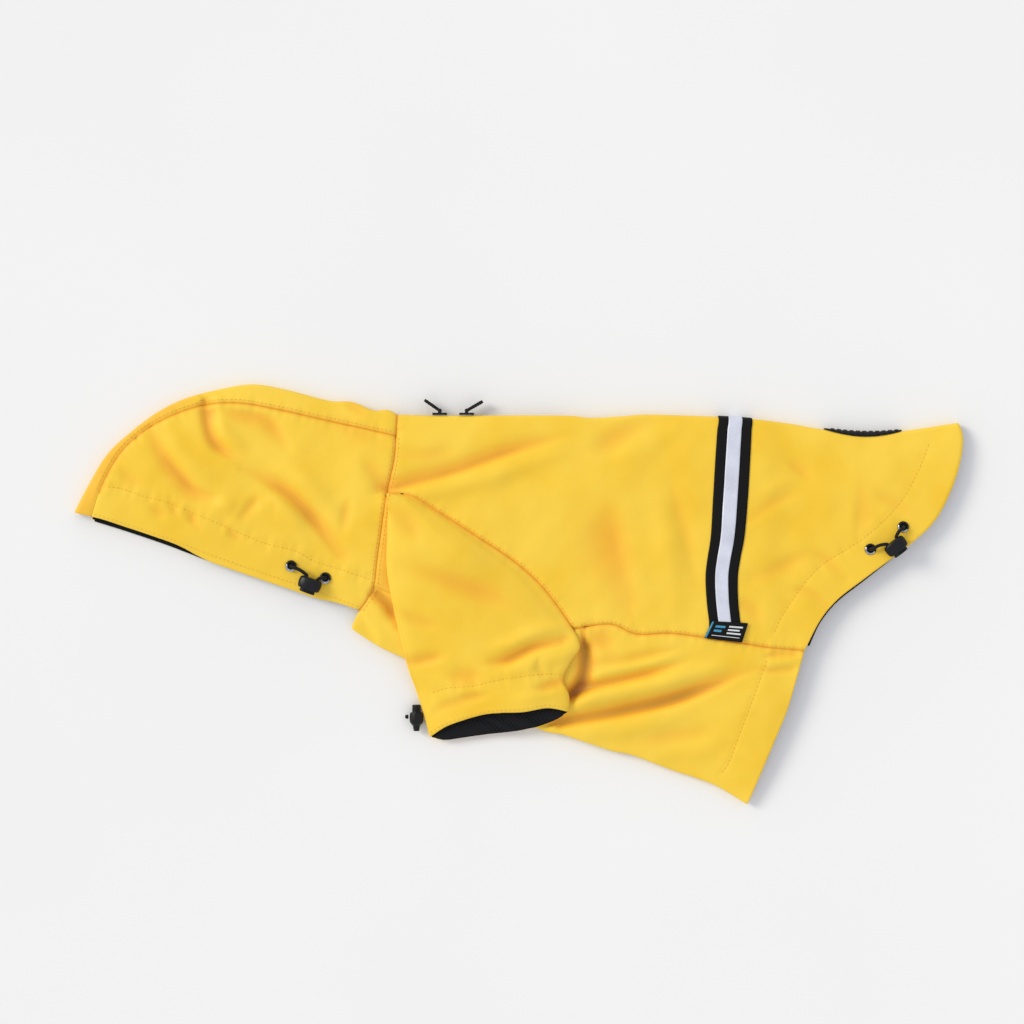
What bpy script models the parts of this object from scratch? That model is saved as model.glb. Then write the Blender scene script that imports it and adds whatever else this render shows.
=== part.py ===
"""Dog raincoat laid flat on its right side, its left side up.

+X runs from the hood to the tail hem, +Y towards the back, +Z up off the surface it lies on.
All sizes below are in millimetres; MM turns them to metres where a mesh is made.
The left side is one height surface over the right side; every panel is a wall hung from it.
"""
import math

import bpy
import bmesh
from mathutils import Vector

MM = 0.001

# ---- cloth ----
CLOTH = 1.2            # shell and its mesh lining, one wall
SLEEVE_CLOTH = 1.1
LINING = 0.8
SEAM_GAP = 0.3         # between two pieces that are sewn together
NECK_GAP = 0.5
LAY_GAP = 0.3          # between a panel and what is sewn on it
SPINE_BULGE = 3.5      # how far the cloth rounds out at the spine fold
BELLY_BULGE = 2.5
SLEEVE_BULGE = 1.6

# ---- heights above the surface ----
FAR_SLEEVE = 2.9       # the right side lies this high over the flattened right sleeve
FAR_TAPE = 1.7         # and this high over its own reflective tape
SPINE_HEIGHT = 8.0
FACE_HEIGHT = 8.0      # near edge of the hood's mouth, which gapes
BELLY_HEIGHT = 5.0
CROWN = 7.5            # how far the left side stands up in its middle
SLEEVE_DIP = 0.55      # share of that crown which the sleeve presses out
SLEEVE_LAY = 0.9       # clearance between the sleeve and the body under it
SLEEVE_EDGE = 4.0      # sleeve's thickness at its folded edges
SLEEVE_PUFF = 4.8      # and how much more it has in the middle

# ---- outlines and seams in plan, x and y ----
HOOD_TOP = [(-333.4, 61.9), (-324, 80), (-309, 105), (-290, 123), (-271, 137), (-251, 147),
            (-228, 153.4), (-200, 158), (-174, 154), (-142, 146.5), (-112, 140), (-90, 135.5)]
SPINE = [(-90, 135.5), (-60, 134.6), (30, 134.6), (55, 132.8), (80, 134), (99, 135.2),
         (151, 133.6), (176, 132), (204, 128.6), (231, 124), (260, 121.4), (289, 122.8), (331.5, 129)]
FACE_EDGE = [(-320, 58.5), (-291, 49.5), (-262, 39.6), (-223, 24.7), (-165, 4.8), (-118.3, -11.8)]
NECK = [(-90, 135.5), (-91, 119), (-92.5, 100), (-97.6, 76.6), (-102, 46), (-105, 25),
        (-107.5, 6), (-112, -3), (-118.3, -11.8)]
CROWN_SEAM = [(-320, 58.5), (-314, 76.6), (-307, 92), (-297, 108), (-283, 121), (-268, 130.5),
              (-249, 138.5), (-231, 143), (-207, 143.5), (-178, 138.5), (-149, 132), (-109, 123), (-91, 119)]
RAGLAN = [(-97.6, 76.6), (-84, 75.8), (-72, 70), (-49, 55.7), (-27, 41.4), (-11.5, 31.4),
          (3, 20.6), (17, 7.7), (28.7, -6.7), (36.6, -18), (42, -26)]
SIDE_SEAM = [(42, -26), (70, -22.3), (89.5, -29.6), (115, -29), (143, -32.5), (166, -36), (190, -40),
             (214.7, -42.3)]
BACK_HEM = [(331.5, 129), (333.4, 119), (331, 101), (324, 79), (312, 56.4), (293, 38), (260, 12.6),
            (239, -4), (226, -20), (214.7, -42.3)]
BELLY_HEM = [(214.7, -42.3), (208, -66), (202, -87), (192.6, -110), (172.5, -158)]
BELLY_FOLD = [(-125, -26), (-104, -39.5), (-84, -49), (-40, -72), (13.7, -100.4), (35, -106),
              (53, -112), (71, -118), (87, -121.4), (115, -132), (136, -139), (151, -145), (172.5, -158)]
CHEST_TIP = [(-118.3, -11.8), (-121.7, -18.4), (-125, -26)]
FRONT_ARMHOLE = [(-107.5, 6), (-94, 0), (-78, -6), (-50, -16), (-20, -25), (10, -31), (32, -34), (42, -26)]
SLEEVE_FRONT = [(-96.5, 71), (-97.5, 45), (-97.6, 18), (-92, -14), (-86, -39), (-82, -56),
                (-73.4, -81), (-66, -107)]
SLEEVE_BACK = [(42, -26), (46.6, -39), (40, -50), (34, -63), (38.6, -75), (38.4, -87.5)]
UNDER_INNER = [(-86, 70), (-83, 45), (-79, 18), (-71, -10), (-50, -17), (-20, -26), (10, -32), (31, -35.5)]
CUFF_UPPER = [(38.4, -87.5), (22.4, -84.3), (3.7, -87.4), (-18.7, -88.7), (-33.6, -92), (-53.6, -99),
              (-66, -107)]
CUFF_LOWER = [(38.4, -87.5), (28.6, -93.6), (10, -99.8), (-15, -103.6), (-40, -107), (-56, -109), (-66, -107)]
YOKE_INNER = [(-90, 73), (-92, 45), (-92, 18), (-90, -1.5)]

# ---- columns of the body panels, front to back ----
RAGLAN_CELLS = 12
UNDERARM_TO_TAPE = 6
TAPE_CELLS = 2
TAPE_TO_HEM = 7
ZIP_CELLS = 8
BACK_ROWS = 8
CHEST_ROWS = 7
BADGE_FIRST = 22       # column at x = 231
BADGE_LAST = 25        # column at x = 289
TAPE_FIRST = RAGLAN_CELLS + UNDERARM_TO_TAPE
TAPE_LAST = TAPE_FIRST + TAPE_CELLS

# ---- small hard pieces ----
TAPE_THICK = 0.5
STRIP_THICK = 0.3
STRIP_SHARE = (0.3, 0.7)       # the silver strip's edges across the tape's width
TAPE_END_SHARE = 0.27          # how far the tape runs into the back's last row, short of the label
LABEL_LIFT = 0.5
LABEL_THICK = 0.8
BADGE_THICK = 1.5
EYELET_OUT, EYELET_IN, EYELET_HIGH = 4.3, 2.2, 0.9
EYELET_LIFT = 0.5              # clear of the highest cloth under the ring
CORD_D = 2.6
SLIDER = {"long": 11.0, "high": 7.0, "thick": 1.6}
PIN_R = 0.6
EYE_IN, EYE_OUT = 0.95, 1.5
TAB = {"long": 14.0, "high": 6.0, "neck_high": 3.8, "neck_long": 3.2, "thick": 1.8}
PIN_RISE = 3.5                 # slider pin's distance out from the spine fold


# =============================== curves and heights ===============================
def smooth_through(points, steps=12):
    """Dense points on one smooth curve through the given ones."""
    ends = [points[0]] + list(points) + [points[-1]]
    dense = []
    for k in range(1, len(ends) - 2):
        before, start, stop, after = (Vector(p) for p in ends[k - 1:k + 3])
        for s in range(steps):
            t = s / steps
            dense.append(0.5 * (2 * start + (stop - before) * t
                                + (2 * before - 5 * start + 4 * stop - after) * t * t
                                + (3 * start - before - 3 * stop + after) * t ** 3))
    dense.append(Vector(points[-1]))
    return dense


def run(points, cells, first=0, last=None, steps=12):
    """cells + 1 evenly spaced points on the curve, between two of its given points."""
    last = len(points) - 1 if last is None else last
    dense = smooth_through(points, steps)[first * steps:last * steps + 1]
    along = [0.0]
    for a, b in zip(dense, dense[1:]):
        along.append(along[-1] + (b - a).length)
    out, k = [], 0
    for i in range(cells + 1):
        want = along[-1] * i / cells
        while k < len(along) - 2 and along[k + 1] < want:
            k += 1
        share = (want - along[k]) / max(along[k + 1] - along[k], 1e-9)
        out.append(dense[k].lerp(dense[k + 1], min(share, 1.0)))
    return out


def joined(*runs):
    """Runs that follow each other as one list, each shared point once."""
    out = list(runs[0])
    for more in runs[1:]:
        out += more[1:]
    return out


def ramp(x, start, stop):
    """Smooth step from 0 at start to 1 at stop, either way round."""
    t = max(0.0, min(1.0, (x - start) / (stop - start)))
    return t * t * (3 - 2 * t)


def height_at(line, x):
    """y of an outline, given as dense points with rising x."""
    if x <= line[0][0]:
        return line[0][1]
    for a, b in zip(line, line[1:]):
        if x <= b[0]:
            return a[1] + (b[1] - a[1]) * (x - a[0]) / max(b[0] - a[0], 1e-9)
    return line[-1][1]


TOP_LINE = smooth_through(HOOD_TOP + SPINE[1:], 4)
BOTTOM_LINE = [(-333.4, 60)] + FACE_EDGE[:-1] + [(-118.3, -14)] + BELLY_FOLD[1:] + [(215, -178), (335, -232)]


def far_height(x):
    """Outer face of the right side, which lies over the right sleeve and its own tape."""
    return (FAR_SLEEVE * ramp(x, -140, -108) - (FAR_SLEEVE - FAR_TAPE) * ramp(x, 75, 130)
            - FAR_TAPE * ramp(x, 184, 206))


def near_height(x, y):
    """Outer face of the left side: folded edges, and a crown between them."""
    top, bottom = height_at(TOP_LINE, x), height_at(BOTTOM_LINE, x)
    width = max(top - bottom, 1.0)
    v = max(0.0, min(1.0, (top - y) / width))
    low_edge = FACE_HEIGHT + (BELLY_HEIGHT - FACE_HEIGHT) * ramp(x, -130, -105)
    edge = SPINE_HEIGHT + (low_edge - SPINE_HEIGHT) * v
    pressed = math.exp(-((x + 15) / 62) ** 2 - ((y + 30) / 52) ** 2)
    crown = min(CROWN, 0.06 * width) * (1 - SLEEVE_DIP * pressed)
    return far_height(x) + edge + crown * (4 * v * (1 - v)) ** 0.7


def body_support(x, y):
    """What the left sleeve lies on: the body, and past the belly fold the right sleeve."""
    past = height_at(BOTTOM_LINE, x) - y
    if past <= 0:
        return near_height(x, y)
    edge = near_height(x, y)
    return edge + (FAR_SLEEVE + 0.3 - edge) * ramp(past, 0, 22)


def patch(top, bottom, left, right, fade=1):
    """Points inside four sides, grid[column][row]: straight from top to bottom, plus the
    left and right sides' own curves, which fade out faster into the patch with a higher fade."""
    columns, rows = len(top) - 1, len(left) - 1
    grid = []
    for i in range(columns + 1):
        u = i / columns
        line = []
        for j in range(rows + 1):
            v = j / rows
            left_curve = left[j] - left[0].lerp(left[-1], v)
            right_curve = right[j] - right[0].lerp(right[-1], v)
            line.append(top[i].lerp(bottom[i], v) + left_curve * (1 - u) ** fade + right_curve * u ** fade)
        grid.append(line)
    return grid


def drawn_in(edge, inner, amount):
    """An edge point moved towards its inner neighbour."""
    return edge + (inner - edge).normalized() * amount


def drawn_line(line, first, last):
    """A line of points with both ends drawn in, the points between following more and more."""
    count = len(line) - 1
    start = (line[1] - line[0]).normalized() * first
    stop = (line[-2] - line[-1]).normalized() * last
    return [p + start * (1 - j / count) ** 2 + stop * (j / count) ** 2 for j, p in enumerate(line)]


def trim(grid, first_row=0.0, last_row=0.0, first_column=0.0, last_column=0.0):
    """The grid with its sides drawn in, which leaves the seam gaps."""
    grid = [drawn_line(line, first_row, last_row) for line in grid]
    across = [drawn_line(list(line), first_column, last_column) for line in zip(*grid)]
    return [list(line) for line in zip(*across)]


def raised(points, height):
    """Plan points lifted onto a height surface."""
    return [Vector((p.x, p.y, height(p.x, p.y))) for p in points]


def fold_arc(edge, inner, bulge, top, low, angles):
    """Points round a fold: out from the edge, from its upper face down to its lower one."""
    out = (edge - inner).normalized()
    middle, half = (top + low) / 2, (top - low) / 2
    points = []
    for angle in angles:
        a = math.radians(angle)
        step = edge + out * bulge * math.cos(a)
        points.append(Vector((step.x, step.y, middle + half * math.sin(a))))
    return points


# =============================== meshes ===============================
def material(name, colour, roughness, metallic=0.0):
    """The named plain finish, made once."""
    mat = bpy.data.materials.get(name) or bpy.data.materials.new(name)
    mat.use_nodes = True
    shader = mat.node_tree.nodes["Principled BSDF"]
    shader.inputs["Base Color"].default_value = (*colour, 1.0)
    shader.inputs["Roughness"].default_value = roughness
    shader.inputs["Metallic"].default_value = metallic
    return mat


SHELL = ("yellow_shell", (0.93, 0.65, 0.07), 0.55)
BLACK_MESH = ("black_mesh_lining", (0.008, 0.008, 0.008), 0.9)
BLACK_TAPE = ("black_webbing", (0.01, 0.01, 0.012), 0.8)
SILVER = ("reflective_silver", (0.66, 0.68, 0.78), 0.45)
NYLON = ("black_nylon", (0.012, 0.013, 0.016), 0.45)
RUBBER = ("black_rubber", (0.012, 0.012, 0.012), 0.7)
METAL = ("black_eyelet_metal", (0.05, 0.05, 0.05), 0.35, 1.0)


def add_object(name, corners, faces, finish, smooth=False):
    """One named object from corners in millimetres, its faces turned outwards."""
    mesh = bpy.data.meshes.new(name)
    mesh.from_pydata([tuple(c * MM for c in corner) for corner in corners], [], faces)
    work = bmesh.new()
    work.from_mesh(mesh)
    bmesh.ops.recalc_face_normals(work, faces=work.faces)
    work.to_mesh(mesh)
    work.free()
    if smooth:
        mesh.shade_smooth()
        mesh.set_sharp_from_angle(angle=math.radians(40))
    obj = bpy.data.objects.new(name, mesh)
    obj.data.materials.append(material(*finish))
    bpy.context.collection.objects.link(obj)
    return obj


def normals(grid):
    """Unit normals of a grid of points, up where the grid faces up."""
    columns, rows = len(grid), len(grid[0])
    out = []
    for i in range(columns):
        line = []
        for j in range(rows):
            along = grid[min(i + 1, columns - 1)][j] - grid[max(i - 1, 0)][j]
            across = grid[i][min(j + 1, rows - 1)] - grid[i][max(j - 1, 0)]
            line.append(across.cross(along).normalized())
        out.append(line)
    return out


def moved(grid, distance):
    """The grid moved along its normals, outwards where distance is positive."""
    turned = normals(grid)
    return [[p + n * distance for p, n in zip(line, sides)] for line, sides in zip(grid, turned)]


def wall(name, outer, thickness, finish):
    """A closed wall between a grid of outer points and the same grid moved inwards."""
    inner = moved(outer, -thickness)
    columns, rows = len(outer), len(outer[0])
    corners = [p for line in outer for p in line] + [p for line in inner for p in line]
    layer = columns * rows
    faces = []
    for i in range(columns - 1):
        for j in range(rows - 1):
            a, b, c, d = i * rows + j, (i + 1) * rows + j, (i + 1) * rows + j + 1, i * rows + j + 1
            faces += [(a, b, c), (a, c, d)]
            faces += [(layer + a, layer + c, layer + b), (layer + a, layer + d, layer + c)]
    rim = [i * rows for i in range(columns)]
    rim += [(columns - 1) * rows + j for j in range(1, rows)]
    rim += [i * rows + rows - 1 for i in range(columns - 2, -1, -1)]
    rim += [j for j in range(rows - 2, 0, -1)]
    for a, b in zip(rim, rim[1:] + rim[:1]):
        faces += [(a, b, layer + b), (a, layer + b, layer + a)]
    return add_object(name, corners, faces, finish)


def lofted(name, centre, axis, rings, finish, sides=16):
    """A solid of oval rings along a level axis: (distance along it, half width, half height)."""
    axis = Vector((axis[0], axis[1], 0)).normalized()
    across = Vector((-axis.y, axis.x, 0))
    corners = [centre + axis * rings[0][0]]
    for along, half_wide, half_high in rings:
        for s in range(sides):
            turn = math.tau * s / sides
            corners.append(centre + axis * along + across * half_wide * math.cos(turn)
                           + Vector((0, 0, half_high * math.sin(turn))))
    corners.append(centre + axis * rings[-1][0])
    last = len(corners) - 1
    faces = []
    for s in range(sides):
        t = (s + 1) % sides
        faces.append((0, 1 + s, 1 + t))
        for r in range(len(rings) - 1):
            low, high = 1 + r * sides, 1 + (r + 1) * sides
            faces.append((low + s, low + t, high + t, high + s))
        faces.append((last, last - sides + s, last - sides + t))
    return add_object(name, corners, faces, finish, smooth=True)


# =============================== panels ===============================
BODY_TOP = joined(run(SPINE, ZIP_CELLS, 0, 2), run(SPINE, RAGLAN_CELLS - ZIP_CELLS, 2, 4),
                  run(SPINE, UNDERARM_TO_TAPE, 4, 6), run(SPINE, TAPE_CELLS, 6, 7),
                  run(SPINE, 2, 7, 9), run(SPINE, 3, 9, 11), run(SPINE, 2, 11, 12))
SIDE = joined(run(SIDE_SEAM, UNDERARM_TO_TAPE, 0, 4), run(SIDE_SEAM, TAPE_CELLS, 4, 5),
              run(SIDE_SEAM, TAPE_TO_HEM, 5, 7))
BACK_LOW = joined(run(RAGLAN, RAGLAN_CELLS), SIDE)
CHEST_TOP = joined(run(FRONT_ARMHOLE, RAGLAN_CELLS), SIDE)
CHEST_LOW = joined(run(BELLY_FOLD, RAGLAN_CELLS, 0, 5), run(BELLY_FOLD, UNDERARM_TO_TAPE + TAPE_CELLS, 5, 9),
                   run(BELLY_FOLD, TAPE_TO_HEM, 9, 12))


def back_plan(fold_bulge):
    """Plan of one back half, its spine edge drawn in to leave room for the fold."""
    grid = patch(BODY_TOP, BACK_LOW, run(NECK, BACK_ROWS, 0, 3), run(BACK_HEM, BACK_ROWS), 7)
    return trim(grid, fold_bulge, SEAM_GAP / 2, NECK_GAP / 2, 0)


def seam_angles(column):
    """Angles round the spine fold, from where the cloth stops: wide for the zip, close behind it."""
    return (42, 66) if column <= ZIP_CELLS else (8, 45)


def back_left():
    """Near half of the back, from the raglan and side seam up and round the spine fold."""
    grid = []
    for i, line in enumerate(back_plan(SPINE_BULGE)):
        top, low = near_height(line[0].x, line[0].y), far_height(line[0].x)
        turn = fold_arc(line[0], line[1], SPINE_BULGE, top, low, seam_angles(i))
        grid.append(turn + raised(line, near_height))
    return grid


def back_right():
    """Far half of the back, from the spine down and flat to the far side seam."""
    grid = []
    for i, line in enumerate(back_plan(SPINE_BULGE)):
        top, low = near_height(line[0].x, line[0].y), far_height(line[0].x)
        angles = [-angle for angle in reversed(seam_angles(i))]
        turn = fold_arc(line[0], line[1], SPINE_BULGE, top, low, angles)
        grid.append(raised(reversed(line), lambda x, y: far_height(x)) + turn)
    return grid


def chest():
    """Chest and belly in one piece, near seam round the belly fold to the far seam."""
    left = joined(run(NECK, 4, 6, 8), run(CHEST_TIP, 3))
    plan = patch(CHEST_TOP, CHEST_LOW, left, run(BELLY_HEM, CHEST_ROWS))
    plan = trim(plan, SEAM_GAP / 2, BELLY_BULGE, NECK_GAP / 2, 0)
    grid = []
    for line in plan:
        top, low = near_height(line[-1].x, line[-1].y), far_height(line[-1].x)
        turn = fold_arc(line[-1], line[-2], BELLY_BULGE, top, low, (45, 0, -45))
        far = raised(reversed(line), lambda x, y: far_height(x))
        grid.append(raised(line, near_height) + turn + far)
    return grid


HOOD_CELLS = 14
HOOD_ROWS = 9


def hood_side(lip, height):
    """A side of the hood, from the crown seam to the face edge, which a lip can let out."""
    low = run(FACE_EDGE, HOOD_CELLS)
    low = [p + Vector((-0.32, -0.95)) * lip * (1 - ramp(k, 10, 13)) for k, p in enumerate(low)]
    left = run(CROWN_SEAM, HOOD_ROWS, 0, 4)[::-1]
    left = [p + (low[0] - left[-1]) * (j / HOOD_ROWS) ** 3 for j, p in enumerate(left)]
    plan = patch(run(CROWN_SEAM, HOOD_CELLS, 4, 12), low, left, run(NECK, HOOD_ROWS, 1, 8))
    plan = trim(plan, SEAM_GAP, 0, SEAM_GAP, NECK_GAP / 2)
    return [raised(line, height) for line in plan]


def hood_crown():
    """Strip over the top of the hood, folded along its middle."""
    seam = joined(run(CROWN_SEAM, HOOD_ROWS, 0, 4), run(CROWN_SEAM, HOOD_CELLS, 4, 12))
    fold = joined(run(HOOD_TOP, HOOD_ROWS, 0, 3), run(HOOD_TOP, HOOD_CELLS, 3, 11))
    grid = []
    count = len(seam)
    plan = []
    for start, stop in zip(seam, fold):
        inner = drawn_in(start, stop, SEAM_GAP)
        plan.append([inner, drawn_in(stop, start, SPINE_BULGE)])
    for line in (0, count - 1):
        neighbour = plan[1 if line == 0 else count - 2]
        plan[line] = [drawn_in(p, q, NECK_GAP / 2 if line else 0) for p, q in zip(plan[line], neighbour)]
    for inner, edge in plan:
        top, low = near_height(edge.x, edge.y), far_height(edge.x)
        turn = fold_arc(edge, inner, SPINE_BULGE, top, low, (50, 12, -12, -50))
        near = raised([inner, edge], near_height)
        far = raised([edge, inner], lambda x, y: far_height(x))
        grid.append((near + turn + far)[::-1])
    return grid


RAGLAN_ROWS = RAGLAN_CELLS - 1      # the sleeve's rows beside the raglan seam
OPEN_ROWS = 5                      # and below it, down to the cuff
UPPER_CELLS = 7
UNDER_CELLS = 6


def sleeve(support, way, edge, puff, inset):
    """A flattened sleeve: upper wall, front fold, under wall. way is +1 up, -1 down."""
    raglan = run(RAGLAN, RAGLAN_CELLS)[1:]
    back = joined(raglan, run(SLEEVE_BACK, OPEN_ROWS))
    front = run(SLEEVE_FRONT, RAGLAN_ROWS + OPEN_ROWS)
    inner_back = run(UNDER_INNER, RAGLAN_ROWS) + [
        p + Vector((-0.9, -0.3)) for p in run(SLEEVE_BACK, OPEN_ROWS)[1:]]
    start = [back[0].lerp(front[0], w / UPPER_CELLS) for w in range(UPPER_CELLS + 1)]
    under_start = [inner_back[0].lerp(front[0], w / UNDER_CELLS) for w in range(UNDER_CELLS + 1)]
    upper = patch(back, front, start, run(CUFF_UPPER, UPPER_CELLS))
    under = patch(inner_back, front, under_start, run(CUFF_LOWER, UNDER_CELLS))
    upper = trim(upper, SEAM_GAP / 2 + inset, SLEEVE_BULGE + inset, 0, inset)
    under = trim(under, inset, SLEEVE_BULGE + inset, 0, inset)
    grid = []
    for k, (over, below) in enumerate(zip(upper, under)):
        open_edge = edge * ramp(k, 9.5, 13)
        swell = puff * ramp(k, 0, 5) * (1 + 0.35 * ramp(k, 11, 16))
        points = []
        for w, p in enumerate(over):
            share = w / UPPER_CELLS
            rise = open_edge + (edge - open_edge) * ramp(share, 0, 0.35)
            rise += swell * (4 * share * (1 - share)) ** 0.7
            points.append(Vector((p.x, p.y, support(p.x, p.y) + way * rise)))
        tip = over[-1]
        base = support(tip.x, tip.y)
        lay = SLEEVE_LAY if way > 0 else LAY_GAP + 0.05
        turn = fold_arc(tip, over[-2], SLEEVE_BULGE, base + edge, base + lay, (45, 0, -45))
        if way < 0:
            turn = [Vector((t.x, t.y, 2 * base - t.z)) for t in turn]
        lower = [Vector((p.x, p.y, support(p.x, p.y) + way * lay)) for p in reversed(below)]
        grid.append(points + turn + lower)
    return grid


def strip_along(curve, cells, outward, inward, height):
    """A flat strip along an edge, reaching past it on one side and in under it on the other."""
    points = run(curve, cells)
    grid = []
    for k, p in enumerate(points):
        along = points[min(k + 1, cells)] - points[max(k - 1, 0)]
        side = Vector((-along.y, along.x)).normalized()
        grid.append(raised([p + side * inward, p - side * outward], height))
    return grid


# =============================== building the pieces ===============================
def build_panels():
    """Every cut piece of cloth, and what is sewn on the back."""
    left, right = back_left(), back_right()
    wall("back_left", left, CLOTH, SHELL)
    wall("back_right", right, CLOTH, SHELL)
    wall("chest_panel", chest(), CLOTH, SHELL)
    wall("hood_side_left", hood_side(0, near_height), CLOTH, SHELL)
    far_side = [line[::-1] for line in hood_side(2, lambda x, y: far_height(x))]
    wall("hood_side_right", far_side, CLOTH, SHELL)
    wall("hood_crown", hood_crown(), CLOTH, SHELL)
    near = sleeve(body_support, 1, SLEEVE_EDGE, SLEEVE_PUFF, 0)
    wall("sleeve_left", near, SLEEVE_CLOTH, SHELL)
    far = sleeve(lambda x, y: far_height(x), -1, FAR_SLEEVE, 0, 1.5)
    wall("sleeve_right", [line[::-1] for line in far], SLEEVE_CLOTH, SHELL)
    build_yoke()
    build_linings(near)
    build_sewn_on(left, right)


def build_yoke():
    """The sleeve's own cloth between its front fold and the neck seam."""
    top = [Vector((-97.6, 76.6)), Vector((-90, 73))]
    plan = patch(top, [Vector((-107.5, 6)), Vector((-90, -1.5))], run(NECK, 5, 3, 6), run(YOKE_INNER, 5))
    plan = trim(plan, SEAM_GAP, SEAM_GAP, NECK_GAP / 2, 0)
    wall("sleeve_left_yoke", [raised(line, near_height) for line in plan], SLEEVE_CLOTH, SHELL)


def build_linings(near_sleeve):
    """Black mesh lining where it shows: hood mouth, tail hem and left cuff."""
    def over_far(x, y):
        return far_height(x) + CLOTH + LAY_GAP + LINING

    mouth = [(-318, 58), (-291, 49.5), (-262, 39.6), (-223, 24.7), (-165, 4.8), (-150, -0.5)]
    wall("hood_lining", strip_along(mouth, 12, 3, 14, over_far), LINING, BLACK_MESH)
    tail = [(217.5, -38), (226, -20), (239, -4), (260, 12.6), (286, 33)]
    wall("hem_lining", strip_along(tail, 7, 1.2, 14, over_far), LINING, BLACK_MESH)
    inside = moved(near_sleeve, -(SLEEVE_CLOTH + LAY_GAP))
    wall("cuff_lining", [line[-UNDER_CELLS:-1] for line in inside[-OPEN_ROWS:]], LINING, BLACK_MESH)


def build_sewn_on(left, right):
    """Tape, silver strip, label and tail badge, each from the back's own points moved out."""
    tape = []
    for i in range(TAPE_FIRST, TAPE_LAST + 1):
        end = left[i][-2].lerp(left[i][-1], TAPE_END_SHARE)
        tape.append(right[i][1:] + left[i][:-1] + [end])
    ground = moved(tape, LAY_GAP + TAPE_THICK)
    wall("reflective_tape", ground, TAPE_THICK, BLACK_TAPE)
    top = moved(tape, LAY_GAP + TAPE_THICK + LAY_GAP + STRIP_THICK)
    start, stop = STRIP_SHARE
    strip = []
    for share in (start, 0.5, stop):
        side, part = (0, share * 2) if share < 0.5 else (1, share * 2 - 1)
        strip.append([a.lerp(b, part) for a, b in zip(top[side], top[min(side + 1, 2)])])
    wall("reflective_strip", strip, STRIP_THICK, SILVER)
    badge = []
    for i in range(BADGE_FIRST, BADGE_LAST + 1):
        badge.append([right[i][-2], right[i][-1], left[i][0], left[i][1], left[i][2]])
    wall("tail_badge", moved(badge, LAY_GAP + BADGE_THICK), BADGE_THICK, RUBBER)
    corners = [Vector((146, -20)), Vector((172, -22)), Vector((140.6, -31.5)), Vector((168.4, -34.5))]
    plan = patch([corners[0], corners[0].lerp(corners[1], 0.5), corners[1]],
                 [corners[2], corners[2].lerp(corners[3], 0.5), corners[3]],
                 [corners[0], corners[2]], [corners[1], corners[3]])
    label = [raised(line, lambda x, y: near_height(x, y) + LABEL_LIFT + LABEL_THICK) for line in plan]
    wall("woven_label", label, LABEL_THICK, BLACK_TAPE)


def build_zip():
    """Zip tape and closed coil along the spine, standing between the two halves of the back."""
    profile = [(-0.4, -2.3), (0.4, -2.3), (0.7, -0.9), (1.5, -1.0), (3.4, -1.5),
               (3.4, 1.5), (1.5, 1.0), (0.7, 0.9), (0.4, 2.3), (-0.4, 2.3)]
    plan = back_plan(SPINE_BULGE)[:ZIP_CELLS + 1]
    corners, sides = [], len(profile)
    for line in plan:
        top, low = near_height(line[0].x, line[0].y), far_height(line[0].x)
        middle = (top + low) / 2
        for out, up in profile:
            corners.append(Vector((line[0].x, line[0].y + out, middle + up)))
    faces = [tuple(range(sides)), tuple(range(len(corners) - sides, len(corners)))]
    for k in range(len(plan) - 1):
        for s in range(sides):
            t = (s + 1) % sides
            low, high = k * sides, (k + 1) * sides
            faces += [(low + s, low + t, high + t), (low + s, high + t, high + s)]
    add_object("zip", corners, faces, BLACK_TAPE)


def spine_middle(x):
    """Point on the spine fold at mid height."""
    y = height_at(TOP_LINE, x)
    top, low = near_height(x, y - SPINE_BULGE), far_height(x)
    return Vector((x, y, (top + low) / 2))


def box(corners_low, corners_high):
    """Corners and faces of a plain box."""
    x0, y0, z0 = corners_low
    x1, y1, z1 = corners_high
    points = [Vector(p) for p in ((x0, y0, z0), (x1, y0, z0), (x1, y1, z0), (x0, y1, z0),
                                  (x0, y0, z1), (x1, y0, z1), (x1, y1, z1), (x0, y1, z1))]
    faces = [(0, 1, 2, 3), (4, 5, 6, 7), (0, 1, 5, 4), (1, 2, 6, 5), (2, 3, 7, 6), (3, 0, 4, 7)]
    return points, faces


def united(target, cutter, operation):
    """Applies one Boolean and removes its cutter."""
    step = target.modifiers.new(operation.lower(), "BOOLEAN")
    step.operation = operation
    step.solver = "EXACT"
    step.object = cutter
    bpy.context.view_layer.update()
    graph = bpy.context.evaluated_depsgraph_get()
    result = bpy.data.meshes.new_from_object(target.evaluated_get(graph))
    target.modifiers.remove(step)
    target.data = result
    bpy.data.objects.remove(cutter)


def upright_round(name, centre, radius, half_high, finish, sides=16):
    """A round bar standing along Z."""
    corners, faces = [], []
    for z in (-half_high, half_high):
        for s in range(sides):
            turn = math.tau * s / sides
            corners.append(centre + Vector((radius * math.cos(turn), radius * math.sin(turn), z)))
    for s in range(sides):
        t = (s + 1) % sides
        faces.append((s, t, sides + t, sides + s))
    faces += [tuple(range(sides)), tuple(range(sides, 2 * sides))]
    return add_object(name, corners, faces, finish, smooth=True)


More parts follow.
